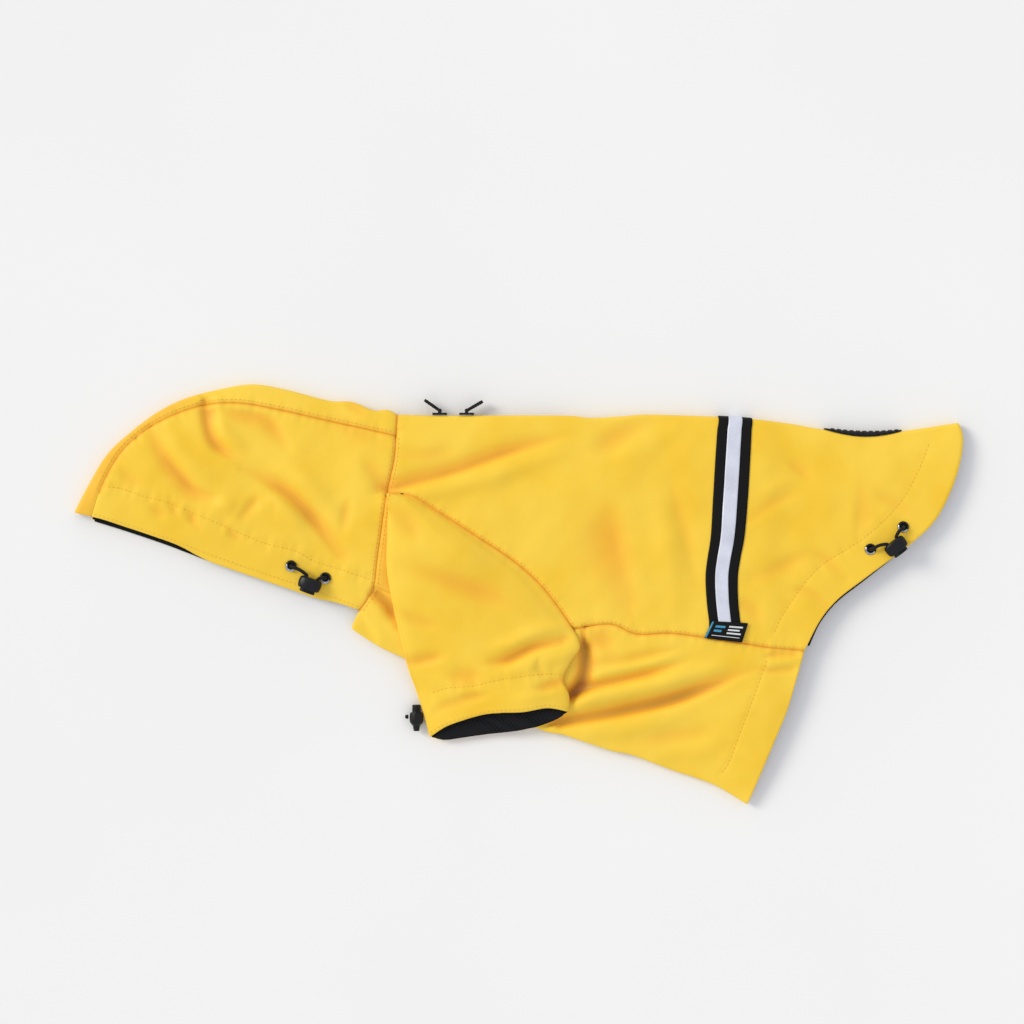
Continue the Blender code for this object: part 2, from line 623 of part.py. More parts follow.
def build_slider(name, x):
    """Slider on the coil, with two ears and the pin that its pull tab turns on."""
    seat = spine_middle(x)
    low_y = seat.y + 0.25
    half = SLIDER["high"] / 2
    points, faces = box((x - SLIDER["long"] / 2, low_y, seat.z - half),
                        (x + SLIDER["long"] / 2, low_y + SLIDER["thick"], seat.z + half))
    body = add_object(name, points, faces, METAL)
    pin = seat + Vector((0, PIN_RISE, 0))
    for side in (-1, 1):
        z0, z1 = sorted((seat.z + side * (half - 1.1), seat.z + side * (half - 0.1)))
        points, faces = box((x - 1.3, low_y + SLIDER["thick"] / 2, z0), (x + 1.3, pin.y + 1.2, z1))
        united(body, add_object("ear", points, faces, METAL), "UNION")
    united(body, upright_round("pin", pin, PIN_R, half - 0.6, METAL), "UNION")
    return pin


def build_tab(name, pin, angle):
    """Pull tab: a wide plate on a narrow neck with an eye round the pin, origin on the pin."""
    half, neck = TAB["high"] / 2, TAB["neck_high"] / 2
    thick = TAB["thick"] / 2
    start, neck_end = 0.0, TAB["neck_long"]
    outline = [(start, -neck), (neck_end, -neck), (neck_end + 1.2, -half), (TAB["long"] - 1, -half),
               (TAB["long"], -half + 1), (TAB["long"], half - 1), (TAB["long"] - 1, half),
               (neck_end + 1.2, half), (neck_end, neck), (start, neck)]
    corners = [Vector((r, side * thick, z)) for side in (-1, 1) for r, z in outline]
    count = len(outline)
    faces = [tuple(range(count)), tuple(range(count, 2 * count))]
    faces += [(s, (s + 1) % count, count + (s + 1) % count, count + s) for s in range(count)]
    tab = add_object(name, corners, faces, RUBBER)
    origin = Vector((0, 0, 0))
    united(tab, upright_round("eye", origin, EYE_OUT, neck, RUBBER), "UNION")
    united(tab, upright_round("hole", origin, EYE_IN, half + 2, RUBBER), "DIFFERENCE")
    tab.location = pin * MM
    tab.rotation_euler = (0, 0, math.radians(angle))
    return tab


LOCK_RINGS = [(-4.7, 7.6, 3.4), (-4.1, 8.9, 4.2), (3.7, 8.9, 4.2), (4.4, 8.3, 3.7),
              (4.4, 6.3, 2.8), (-0.8, 6.3, 2.8)]
BUTTON_RINGS = [(1.9, 5.7, 2.2), (2.0, 5.95, 2.45), (6.6, 5.95, 2.45), (7.2, 5.3, 1.9)]
CUFF_LOCK_RINGS = [(-8.7, 1.9, 1.9), (-8.4, 2.3, 2.3), (-4.6, 2.6, 2.5), (-3.4, 4.2, 3.8), (-1.2, 5.4, 4.8),
                   (4.8, 5.0, 4.6), (5.3, 4.6, 4.2), (5.3, 3.7, 3.3), (0.2, 3.7, 3.3)]
CUFF_BUTTON_RINGS = [(3.1, 3.1, 2.7), (3.2, 3.35, 2.95), (10.5, 3.35, 2.95), (11.2, 2.8, 2.4)]
KNOT_RINGS = [(-1.4, 0.8, 0.8), (-0.8, 1.6, 1.6), (0.5, 1.8, 1.8), (1.2, 1.3, 1.3)]
HOOD_LOCK_OUT = (-0.342, -0.94)     # which way each lock's button points, in plan
HEM_LOCK_OUT = (0.616, -0.788)
LOCK_HALF_HIGH = 4.2


def build_locks():
    """Cord locks, each a hollow body and the sprung button in it, lying on the cloth under them."""
    hood = Vector((-155.4, 8.0, near_height(-153, 13) + LOCK_HALF_HIGH + 0.45))
    tail = Vector((282.8, 36.4, near_height(280, 42) + LOCK_HALF_HIGH + 0.7))
    cuff = Vector((-76.0, -94.3, 4.8 + 0.1))
    for name, centre, out, rings, button in (
            ("hood_lock", hood, HOOD_LOCK_OUT, LOCK_RINGS, BUTTON_RINGS),
            ("hem_lock", tail, HEM_LOCK_OUT, LOCK_RINGS, BUTTON_RINGS),
            ("cuff_lock", cuff, (0.0, 1.0), CUFF_LOCK_RINGS, CUFF_BUTTON_RINGS)):
        lofted(name, centre, out, rings, NYLON)
        lofted(name + "_button", centre, out, button, NYLON)
    knot = Vector((-83.2, -92.2, 4.9))
    lofted("cuff_cord_knot", knot, (1, 0), KNOT_RINGS, BLACK_TAPE, 12)
    return hood, tail


HOOD_EYELETS = {"hood_eyelet_front": (-169.7, 21.4), "hood_eyelet_rear": (-144.1, 12.4)}
HEM_EYELETS = {"hem_eyelet_upper": (289.0, 50.7), "hem_eyelet_lower": (264.4, 34.0)}


def build_eyelets():
    """Flat rings in the drawcord casings, level with the cloth round them."""
    for name, (x, y) in {**HOOD_EYELETS, **HEM_EYELETS}.items():
        base = max(near_height(x + dx, y + dy) for dx in (-4, 0, 4) for dy in (-4, 0, 4)) + EYELET_LIFT
        corners, sides = [], 16
        for radius, up in ((EYELET_IN, 0), (EYELET_OUT, 0), (EYELET_OUT - 0.6, EYELET_HIGH),
                           (EYELET_IN + 0.4, EYELET_HIGH)):
            for s in range(sides):
                turn = math.tau * s / sides
                corners.append(Vector((x + radius * math.cos(turn), y + radius * math.sin(turn), base + up)))
        faces = []
        for r in range(4):
            for s in range(sides):
                t = (s + 1) % sides
                low, high = r * sides, (r + 1) % 4 * sides
                faces.append((low + s, low + t, high + t, high + s))
        add_object(name, corners, faces, METAL, smooth=True)


def build_cord(name, points):
    """A drawcord tube through hand-set points."""
    dense = smooth_through(points, 3)
    curve = bpy.data.curves.new(name, "CURVE")
    curve.dimensions = "3D"
    curve.bevel_depth = CORD_D / 2 * MM
    curve.bevel_resolution = 2
    curve.use_fill_caps = True
    spline = curve.splines.new("POLY")
    spline.points.add(len(dense) - 1)
    for target, p in zip(spline.points, dense):
        target.co = (p.x * MM, p.y * MM, p.z * MM, 1)
    obj = bpy.data.objects.new(name, curve)
    curve.materials.append(material(*BLACK_TAPE))
    bpy.context.collection.objects.link(obj)


def cord_route(eyelet, lock, out, side):
    """Up out of an eyelet, over its rim and into the lock's inner face."""
    x, y = eyelet
    out = Vector((out[0], out[1], 0)).normalized()
    across = Vector((-out.y, out.x, 0))
    entry = lock - out * (4.7 + LAY_GAP + 0.4) + across * 4.6 * side
    foot = Vector((x, y, near_height(x, y) + 1.6))
    level = Vector((x, y, entry.z))
    before = entry - out * 1.8
    return [foot, foot.lerp(level, 0.75) + (entry - level) * 0.1, level.lerp(before, 0.5), before, entry]


def build_cords(hood, tail):
    """The four stretches of drawcord that show, from each eyelet to its lock."""
    routes = {"hood_cord_front": (HOOD_EYELETS["hood_eyelet_front"], hood, HOOD_LOCK_OUT, -1),
              "hood_cord_rear": (HOOD_EYELETS["hood_eyelet_rear"], hood, HOOD_LOCK_OUT, 1),
              "hem_cord_upper": (HEM_EYELETS["hem_eyelet_upper"], tail, HEM_LOCK_OUT, 1),
              "hem_cord_lower": (HEM_EYELETS["hem_eyelet_lower"], tail, HEM_LOCK_OUT, -1)}
    for name, (eyelet, lock, out, side) in routes.items():
        build_cord(name, cord_route(eyelet, lock, out, side))


def main():
    """Clears the file and builds every piece."""
    for obj in list(bpy.data.objects):
        bpy.data.objects.remove(obj, do_unlink=True)
    build_panels()
    build_zip()
    for name, x, angle in (("front", -58.4, 145), ("rear", -38.2, 30)):
        pin = build_slider("zip_slider_" + name, x)
        build_tab("zip_pull_" + name, pin, angle)
    hood, tail = build_locks()
    build_eyelets()
    build_cords(hood, tail)


main()
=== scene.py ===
"""Looks of a dog raincoat that lies flat on its right side, its left side up.

The shell is coated yellow polyester lined with black mesh. Lengths are in millimetres, and MM
turns them to metres where a mesh is made. +X runs from the hood to the tail hem, +Y towards the
back and +Z up. Outlines and heights are those of the solid model, with finer cells and creases.
"""
import math
from collections import namedtuple

import bmesh
import bpy
import numpy as np
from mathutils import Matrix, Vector
from mathutils.bvhtree import BVHTree


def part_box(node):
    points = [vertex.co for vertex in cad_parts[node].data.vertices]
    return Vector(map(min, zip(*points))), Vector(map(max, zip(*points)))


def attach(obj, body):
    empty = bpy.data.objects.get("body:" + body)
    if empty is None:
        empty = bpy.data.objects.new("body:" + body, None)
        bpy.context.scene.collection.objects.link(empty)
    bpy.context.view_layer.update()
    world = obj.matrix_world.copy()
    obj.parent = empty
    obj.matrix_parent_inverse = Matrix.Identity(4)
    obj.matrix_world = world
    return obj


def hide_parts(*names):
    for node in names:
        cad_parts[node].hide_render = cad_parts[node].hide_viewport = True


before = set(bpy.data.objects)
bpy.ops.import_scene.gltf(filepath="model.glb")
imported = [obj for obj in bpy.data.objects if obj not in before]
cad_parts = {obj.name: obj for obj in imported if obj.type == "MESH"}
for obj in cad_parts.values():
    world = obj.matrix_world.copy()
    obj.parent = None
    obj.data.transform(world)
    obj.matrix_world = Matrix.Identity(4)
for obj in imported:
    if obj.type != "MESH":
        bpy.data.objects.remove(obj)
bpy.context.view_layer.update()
MM = 0.001

# ---- cloth and how it lies, as in the solid model ----
CLOTH = 1.2
SLEEVE_CLOTH = 1.1
LINING = 0.8
SEAM_GAP = 0.0          # sewn edges meet here, so their rounded rims close the seam
NECK_GAP = 0.1
LAY_GAP = 0.3
SPINE_BULGE = 3.5
BELLY_BULGE = 2.5
SLEEVE_BULGE = 1.6
FAR_SLEEVE = 2.9
FAR_TAPE = 1.7
SPINE_HEIGHT = 8.0
FACE_HEIGHT = 8.0
BELLY_HEIGHT = 5.0
CROWN = 7.5
SLEEVE_DIP = 0.55
SLEEVE_LAY = 0.9
SLEEVE_EDGE = 4.0
SLEEVE_PUFF = 4.8

# ---- outlines and seams in plan, x and y ----
HOOD_TOP = [(-333.4, 61.9), (-324, 80), (-309, 105), (-290, 123), (-271, 137), (-251, 147),
            (-228, 153.4), (-200, 158), (-174, 154), (-142, 145.8), (-124.5, 144.8), (-108, 138.4),
            (-98, 138.8), (-90, 135.5)]
SPINE = [(-90, 135.5), (-60, 134.6), (30, 134.6), (55, 132.8), (80, 134), (99, 135.2),
         (151, 133.6), (176, 132), (204, 128.6), (231, 124), (260, 121.4), (289, 122.8), (331.5, 129)]
FACE_EDGE = [(-320, 58.5), (-291, 49.5), (-262, 39.6), (-223, 24.7), (-165, 4.8), (-118.3, -11.8)]
NECK = [(-90, 135.5), (-91, 119), (-92.5, 100), (-97.6, 76.6), (-102, 46), (-105, 25),
        (-107.5, 6), (-112, -3), (-118.3, -11.8)]
CROWN_SEAM = [(-320, 58.5), (-314, 76.6), (-307, 92), (-297, 108), (-283, 121), (-268, 130.5),
              (-249, 138.5), (-231, 143), (-207, 143.5), (-178, 138.5), (-149, 132), (-109, 123), (-91, 119)]
RAGLAN = [(-97.6, 76.6), (-84, 75.8), (-72, 70), (-49, 55.7), (-27, 41.4), (-11.5, 31.4),
          (3, 20.6), (17, 7.7), (28.7, -6.7), (36.6, -18), (42, -26)]
SIDE_SEAM = [(42, -26), (70, -22.3), (89.5, -29.6), (115, -29), (143, -32.5), (166, -36), (190, -40),
             (214.7, -42.3)]
BACK_HEM = [(331.5, 129), (333.4, 119), (331, 101), (324, 79), (312, 56.4), (293, 38), (260, 12.6),
            (239, -4), (226, -20), (214.7, -42.3)]
BELLY_HEM = [(214.7, -42.3), (208, -66), (202, -87), (192.6, -110), (172.5, -158)]
BELLY_FOLD = [(-125, -26), (-104, -39.5), (-84, -49), (-40, -72), (13.7, -100.4), (35, -106),
              (53, -112), (71, -118), (87, -121.4), (115, -132), (136, -139), (151, -145), (172.5, -158)]
CHEST_TIP = [(-118.3, -11.8), (-121.7, -18.4), (-125, -26)]
FRONT_ARMHOLE = [(-107.5, 6), (-94, 0), (-78, -6), (-50, -16), (-20, -25), (10, -31), (32, -34), (42, -26)]
SLEEVE_FRONT = [(-96.5, 71), (-97.5, 45), (-97.6, 18), (-92, -14), (-86, -39), (-82, -56),
                (-73.4, -81), (-66, -107)]
SLEEVE_BACK = [(42, -26), (46.6, -39), (40, -50), (34, -63), (38.6, -75), (38.4, -87.5)]
UNDER_INNER = [(-86, 70), (-83, 45), (-79, 18), (-71, -10), (-50, -17), (-20, -26), (10, -32), (31, -35.5)]
CUFF_UPPER = [(38.4, -87.5), (22.4, -84.3), (3.7, -87.4), (-18.7, -88.7), (-33.6, -92), (-53.6, -99),
              (-66, -107)]
CUFF_LOWER = [(38.4, -87.5), (28.6, -93.6), (10, -99.8), (-15, -103.6), (-40, -107), (-56, -109), (-66, -107)]
YOKE_INNER = [(-90, 73), (-92, 45), (-92, 18), (-90, -1.5)]

# ---- rows of topstitching, in plan ----
HOOD_CASING = [(-309, 81), (-297, 79.4), (-280, 73.7), (-263, 69.4), (-243, 61), (-218, 50.7), (-191, 39),
               (-167, 33), (-152, 25), (-131, 18.4), (-109, 11)]
HEM_CASING = [(309, 114), (301, 94), (286, 68), (260, 43), (224, 19), (200, -12.6), (192, -29)]
BELLY_CASING = [(187, -48), (182, -62), (174, -84), (166, -105), (158, -127), (152, -135)]
CUFF_ROW = [(-65, -74), (-53.6, -70), (-33.6, -68), (-9, -62.5), (21, -59), (33, -60)]

# ---- cells of the solid model, and how many finer ones each holds here ----
ZIP_CELLS, RAGLAN_CELLS, UNDERARM_TO_TAPE, TAPE_CELLS, TAPE_TO_HEM = 8, 12, 6, 2, 7
BADGE_FIRST, BADGE_LAST = 22, 25
TAPE_FIRST = RAGLAN_CELLS + UNDERARM_TO_TAPE
TAPE_LAST = TAPE_FIRST + TAPE_CELLS
FINE = 8
BACK_ROWS = 84
CHEST_TIP_ROWS, CHEST_NECK_ROWS = 27, 36
CHEST_ROWS = CHEST_TIP_ROWS + CHEST_NECK_ROWS
HOOD_CELLS, HOOD_ROWS = 14, 9
HOOD_FINE = 9
SLEEVE_ROWS, ARMHOLE_ROWS = 16, 11
SLEEVE_FINE = 6
UPPER_CELLS = 60
UNDER_CELLS = 24
ARC_STEPS = 8

Fold = namedtuple("Fold", "rise width lean start stop line")


# =============================== curves and heights ===============================
def smooth_through(points, steps=12):
    """Dense points on one smooth curve through the given ones."""
    p = np.array(points, float)
    ends = np.vstack([p[:1], p, p[-1:]])
    t = (np.arange(steps) / steps)[:, None]
    parts = []
    for before, start, stop, after in zip(ends, ends[1:], ends[2:], ends[3:]):
        parts.append(0.5 * (2 * start + (stop - before) * t
                            + (2 * before - 5 * start + 4 * stop - after) * t ** 2
                            + (3 * start - before - 3 * stop + after) * t ** 3))
    return np.vstack(parts + [p[-1:]])


def lengths(line):
    """Distance along a line of points at each of them."""
    return np.concatenate([[0.0], np.cumsum(np.linalg.norm(np.diff(line, axis=0), axis=1))])


def run(points, cells, first=0, last=None, steps=12):
    """cells + 1 evenly spaced points on the curve, between two of its given points."""
    last = len(points) - 1 if last is None else last
    dense = smooth_through(points, steps)[first * steps:last * steps + 1]
    along = lengths(dense)
    want = np.linspace(0, along[-1], cells + 1)
    return np.stack([np.interp(want, along, dense[:, c]) for c in range(dense.shape[1])], axis=1)


def joined(*runs):
    """Runs that follow each other as one, each shared point once."""
    return np.vstack([runs[0]] + [more[1:] for more in runs[1:]])


def ramp(x, start, stop):
    """Smooth step from 0 at start to 1 at stop, either way round."""
    t = np.clip((np.asarray(x, float) - start) / (stop - start), 0, 1)
    return t * t * (3 - 2 * t)


TOP_LINE = smooth_through(HOOD_TOP + SPINE[1:], 4)
BOTTOM_LINE = np.array([(-333.4, 60)] + FACE_EDGE[:-1] + [(-118.3, -14)] + BELLY_FOLD[1:]
                       + [(215, -178), (335, -232)], float)


def height_at(line, x):
    """The y of a line at x; where the line runs back, its x stands still."""
    return np.interp(x, np.maximum.accumulate(line[:, 0]), line[:, 1])


def far_height(x):
    """Outer face of the right side, which lies over the right sleeve and its own tape."""
    return (FAR_SLEEVE * ramp(x, -140, -108) - (FAR_SLEEVE - FAR_TAPE) * ramp(x, 75, 130)
            - FAR_TAPE * ramp(x, 184, 206))


def near_height(x, y):
    """Outer face of the left side: folded edges, and a crown between them."""
    top, bottom = height_at(TOP_LINE, x), height_at(BOTTOM_LINE, x)
    width = np.maximum(top - bottom, 1.0)
    v = np.clip((top - y) / width, 0, 1)
    low_edge = FACE_HEIGHT + (BELLY_HEIGHT - FACE_HEIGHT) * ramp(x, -130, -105)
    edge = SPINE_HEIGHT + (low_edge - SPINE_HEIGHT) * v
    pressed = np.exp(-((x + 15) / 62) ** 2 - ((y + 30) / 52) ** 2)
    crown = np.minimum(CROWN, 0.06 * width) * (1 - SLEEVE_DIP * pressed)
    return far_height(x) + edge + crown * (4 * v * (1 - v)) ** 0.7


def body_support(x, y):
    """What the left sleeve lies on: the body, and past the belly fold the right sleeve."""
    past = height_at(BOTTOM_LINE, x) - y
    edge = near_height(x, y)
    return edge + (FAR_SLEEVE + 0.3 - edge) * ramp(past, 0, 22)


# =============================== creases ===============================
# rise above or below the cloth, half width, lean (wider to the line's left), strength kept at
# each end, and the line itself
BODY_FOLDS = [
    # the gap behind the sleeve, and the hollow above it
    Fold(-6.0, 6.5, 0.0, 0.9, 0.8, [(50, -40), (51, -50), (50, -60), (46, -69), (40, -78)]),
    Fold(-2.6, 1.8, 0.0, 0.8, 0.3, [(51, -24), (49.3, -28), (49.7, -35), (51.6, -40)]),
    Fold(-2.4, 9.0, 0.0, 0.6, 0.4, [(57, -27), (64, -34), (68, -44)]),
    # belly: rolls that fan out from under the sleeve, each steep on its lower side
    Fold(-5.4, 6.4, 0.45, 0.8, 0.1, [(32, -97.5), (50, -94), (75, -89.5), (115, -80.5), (146.7, -69),
                                     (169.7, -59), (186, -54.5)]),
    Fold(3.4, 7.0, 0.0, 1.0, 0.0, [(34, -83), (58, -78), (86, -72), (115, -65), (146, -55), (166, -48)]),
    Fold(1.6, 7.0, 0.0, 0.9, 0.0, [(30, -108), (60, -104), (88, -99), (118, -92), (146, -80)]),
    Fold(-4.2, 4.2, 0.4, 1.0, 0.0, [(39, -77.4), (57.7, -69.5), (93.6, -61), (118, -54), (137, -46)]),
    Fold(2.4, 5.0, 0.0, 0.6, 0.0, [(58, -61), (82, -55.5), (106, -50), (128, -44)]),
    Fold(-2.2, 4.2, 0.2, 0.4, 0.0, [(60.6, -52), (84, -49.5), (104, -45), (126, -38.7)]),
    Fold(-2.0, 2.6, 0.0, 0.8, 0.0, [(209, -44.5), (196, -45), (181, -46)]),
    Fold(-1.7, 2.6, 0.0, 0.8, 0.0, [(206, -56), (192, -57), (180, -56)]),
    Fold(1.2, 3.6, 0.0, 0.8, 0.0, [(207, -50), (194, -51), (180, -51)]),
    Fold(-1.4, 8.0, 0.0, 0.2, 0.0, [(70, -113), (100, -108), (136, -104), (160, -97)]),
    Fold(1.4, 8.0, 0.0, 0.2, 0.0, [(104, -122), (132, -117), (160, -112)]),
    # chest, in front of the sleeve
    Fold(-4.2, 5.0, 0.0, 1.0, 0.3, [(-105, 0), (-96, -9), (-89, -24)]),
    Fold(1.2, 5.0, 0.0, 0.4, 0.2, [(-114, -20), (-104, -30), (-94, -38)]),
    # back: the long slack fold from the neck to the spine, and soft waves behind it
    Fold(-3.4, 5.4, 0.45, 1.0, 0.0, [(-98, 78), (-75, 84), (-44, 92.5), (-14.7, 103.5), (19.7, 114),
                                     (54, 121)]),
    Fold(2.6, 7.5, 0.0, 0.9, 0.0, [(-97.6, 68), (-76, 74), (-47, 81), (-11.5, 91), (17, 101), (50, 109)]),
    Fold(-1.2, 6.0, 0.0, 0.4, 0.0, [(-90, 104), (-66, 105), (-40, 110)]),
    Fold(-1.8, 9.0, 0.0, 0.2, 0.4, [(50, 106), (72, 117), (99, 130)]),
    Fold(1.4, 9.0, 0.0, 0.2, 0.4, [(66, 96), (90, 108), (118, 124)]),
    Fold(-2.7, 15.0, -0.3, 0.0, 0.5, [(66, 82), (70, 50), (76, 20), (84, -4)]),
    Fold(1.6, 10.0, 0.0, 0.0, 0.3, [(104, 84), (110, 48), (116, 12), (118, -14)]),
    Fold(-1.3, 6.0, 0.0, 0.0, 0.3, [(112, 96), (124, 50), (134, 8)]),
    Fold(-1.6, 5.0, 0.4, 0.0, 0.0, [(200, 103), (210, 94), (223, 83)]),
    Fold(-1.5, 5.0, 0.3, 0.5, 0.0, [(172, 54), (193.6, 69), (216, 77)]),
    Fold(1.2, 6.0, 0.0, 0.0, 0.0, [(178, 72), (196, 82), (214, 88)]),
    Fold(-1.4, 7.0, 0.4, 0.0, 0.0, [(258, 88), (257, 62), (254, 36)]),
    Fold(-1.4, 6.0, 0.0, 0.4, 0.0, [(176, 12), (196, 20), (224, 33)]),
    Fold(-1.5, 6.0, 0.0, 0.9, 0.3, [(170, -8), (177, -13), (180, -22)]),
    Fold(-1.2, 5.0, 0.0, 0.5, 0.0, [(300, 60), (280, 70), (262, 84)]),
    Fold(-1.2, 4.5, 0.0, 0.5, 0.0, [(246, 12), (232, 26), (214, 34)]),
    Fold(-1.3, 3.6, 0.0, 0.5, 0.0, [(232, -8), (218, 2), (200, 4)]),
]
HOOD_FOLDS = [
    Fold(-3.6, 5.2, 0.35, 0.9, 0.0, [(-236, 142), (-232.5, 124), (-227, 112), (-216, 104.5), (-204, 98)]),
    Fold(2.2, 6.5, 0.0, 0.7, 0.0, [(-224, 142), (-221, 126), (-213, 115), (-198, 108)]),
    Fold(-2.6, 6.0, -0.2, 0.7, 0.0, [(-226, 137), (-206, 134.5), (-188, 130), (-176, 116), (-166, 102)]),
    Fold(-3.4, 6.2, -0.2, 0.4, 0.0, [(-276, 125), (-265.6, 104.7), (-253.5, 90), (-239.8, 76.5), (-214, 72)]),
    Fold(2.2, 8.0, 0.0, 0.3, 0.0, [(-262, 126), (-251, 106), (-237, 92), (-218, 84)]),
    Fold(-4.0, 6.4, 0.35, 0.2, 0.4, [(-206, 94), (-188, 85), (-171, 73), (-157, 59), (-145, 45), (-133, 29)]),
    Fold(2.6, 8.5, 0.0, 0.0, 0.2, [(-190, 100), (-166, 90), (-147, 73), (-130, 52)]),
    Fold(2.2, 6.5, 0.0, 0.3, 0.3, [(-226, 62), (-219, 67), (-211, 62)]),
    Fold(2.4, 7.0, 0.0, 0.3, 0.3, [(-190, 64), (-180, 70), (-168, 58), (-160, 44)]),
    Fold(-1.8, 4.0, 0.0, 0.6, 0.0, [(-206, 58), (-200, 66), (-192, 76)]),
    Fold(-1.8, 4.5, 0.0, 0.0, 0.0, [(-125, 76), (-129, 60), (-131, 42)]),
    Fold(-1.6, 7.0, 0.0, 0.2, 0.3, [(-146, 132), (-122, 124), (-98, 113)]),
    Fold(-1.6, 4.0, 0.0, 0.5, 0.2, [(-131, 147), (-122, 140), (-110, 135)]),
    Fold(-1.2, 5.0, 0.0, 0.0, 0.0, [(-300, 98), (-290, 86), (-276, 80)]),
    Fold(-1.4, 6.0, 0.0, 0.0, 0.3, [(-118, 106), (-108, 92), (-101, 78)]),
    Fold(-1.8, 3.4, 0.0, 0.4, 0.4, [(-247, 63), (-243, 56), (-239, 50)]),
    Fold(-1.5, 3.0, 0.0, 0.4, 0.4, [(-218, 52), (-213, 45), (-206, 40)]),
    Fold(-1.4, 3.0, 0.0, 0.4, 0.4, [(-260, 72), (-258, 64), (-254, 58)]),
    Fold(-1.3, 4.0, 0.0, 0.3, 0.0, [(-276, 70), (-270, 62), (-262, 56)]),
]
SLEEVE_FOLDS = [
    Fold(-4.2, 4.6, 0.4, 0.0, 0.6, [(-32, -52), (-8, -49.5), (12, -40), (34, -35)]),
    Fold(2.6, 5.5, 0.0, 0.0, 0.7, [(-30, -40), (-6, -37), (14, -28), (34, -23)]),
    Fold(1.8, 5.5, 0.0, 0.0, 0.7, [(-22, -61), (0, -56), (20, -49), (42, -43)]),
    Fold(-2.6, 4.2, 0.3, 0.8, 0.0, [(-84, -51), (-68, -49), (-50, -45)]),
    Fold(-2.0, 7.0, 0.0, 0.0, 0.0, [(-58, -62), (-40, -61), (-20, -62)]),
    Fold(-2.0, 3.4, 0.0, 0.0, 0.0, [(-50, -79), (-36, -77), (-18, -74)]),
    Fold(-2.6, 10.0, 0.2, 0.2, 0.0, [(-86, 22), (-46, 9), (-14, -3), (10, -10)]),
    Fold(2.0, 12.0, 0.0, 0.0, 0.0, [(-76, 38), (-40, 26), (-10, 12)]),
    Fold(-2.0, 3.2, 0.3, 0.0, 0.5, [(17, -45), (15, -52), (18, -60)]),
    Fold(-2.6, 3.6, 0.2, 0.0, 1.0, [(8, -71), (22, -69), (38, -64)]),
    Fold(-1.6, 7.0, 0.0, 0.5, 0.0, [(-96, 64), (-84, 56), (-70, 36)]),
    Fold(-1.6, 5.0, 0.0, 0.3, 0.0, [(-92, -10), (-72, -20), (-52, -24)]),
    Fold(-1.4, 4.0, 0.0, 0.5, 0.0, [(-62, -88), (-50, -82), (-34, -82)]),
    Fold(1.4, 5.0, 0.0, 0.0, 0.3, [(-6, -78), (10, -77), (26, -74)]),
]


def beside(x, y, line):
    """Distance of points from a curve, signed to its left, the place along it and its length."""
    dense = smooth_through(line, 4)
    along = lengths(dense)
    best, side, at = np.full(x.shape, 1e9), np.zeros(x.shape), np.zeros(x.shape)
    for (px, py), (dx, dy), start in zip(dense, np.diff(dense, axis=0), along):
        size = max(math.hypot(dx, dy), 1e-9)
        t = np.clip(((x - px) * dx + (y - py) * dy) / size ** 2, 0, 1)
        ox, oy = x - px - t * dx, y - py - t * dy
        gap = np.hypot(ox, oy)
        nearer = gap < best
        best = np.where(nearer, gap, best)
        side = np.where(nearer, np.sign(dx * oy - dy * ox), side)
        at = np.where(nearer, start + t * size, at)
    return best * side, at, along[-1]


def around(x, y, line, reach):
    """Which points lie within reach of a line's own box."""
    p = np.array(line)
    low, high = p.min(axis=0) - reach, p.max(axis=0) + reach
    return (x > low[0]) & (x < high[0]) & (y > low[1]) & (y < high[1])


def relief(x, y, folds):
    """Height that soft creases add: each a rounded ridge or trough that runs out at its ends."""
    rise = np.zeros(x.shape)
    for fold in folds:
        near = around(x, y, fold.line, 3 * fold.width)
        if not near.any():
            continue
        gap, at, length = beside(x[near], y[near], fold.line)
        share = at / length
        strength = (fold.start + (1 - fold.start) * ramp(share, 0, 0.45))
        strength *= fold.stop + (1 - fold.stop) * ramp(1 - share, 0, 0.45)
        width = fold.width * (1 + fold.lean * np.sign(gap)) * (0.6 + 0.4 * strength)
        rise[near] += fold.rise * strength * np.exp(-(gap / width) ** 2)
    return rise


def waves(x, y, size, seed):
    """Slow uneven swelling of the cloth, about size across, from -1 to 1."""
    chance = np.random.default_rng(seed)
    total = np.zeros(np.shape(x))
    for turn, phase, stretch in zip(chance.uniform(0, math.tau, 7), chance.uniform(0, math.tau, 7),
                                    chance.uniform(0.7, 1.5, 7)):
        total += np.sin((x * math.cos(turn) + y * math.sin(turn)) * math.tau / (size * stretch) + phase)
    return total / 3.5


SEAM_ROWS = [HOOD_CASING, HEM_CASING, BELLY_CASING, RAGLAN, SIDE_SEAM, CROWN_SEAM[1:], NECK]
GROOVE, GROOVE_WIDTH = 0.35, 1.9
PUCKER, PUCKER_REACH = 0.34, 6.0
FULL_SHADE_DEPTH = 7.0                     # crease depth at which a crease's painted shade is at its darkest
# painted shade in the sewn grooves, at its strongest
SEAM_PAINTED_SHADE = 0.42
LEAST_HEIGHT = 3.0             # the left side never sinks nearer than this to the right one


def puckers(x, y, rows):
    """The groove of each sewn row and the small uneven gathers beside it."""
    rise = np.zeros(x.shape)
    for number, line in enumerate(rows):
        near = around(x, y, line, 3 * PUCKER_REACH)
        if not near.any():
            continue
        gap, at, _ = beside(x[near], y[near], line)
        gather = sum(np.sin(at * math.tau / size + number * size) for size in (7.3, 11.9, 19.0)) / 2
        rise[near] += PUCKER * gather * np.exp(-(gap / PUCKER_REACH) ** 2)
        rise[near] -= GROOVE * np.exp(-(gap / GROOVE_WIDTH) ** 2)
    return rise


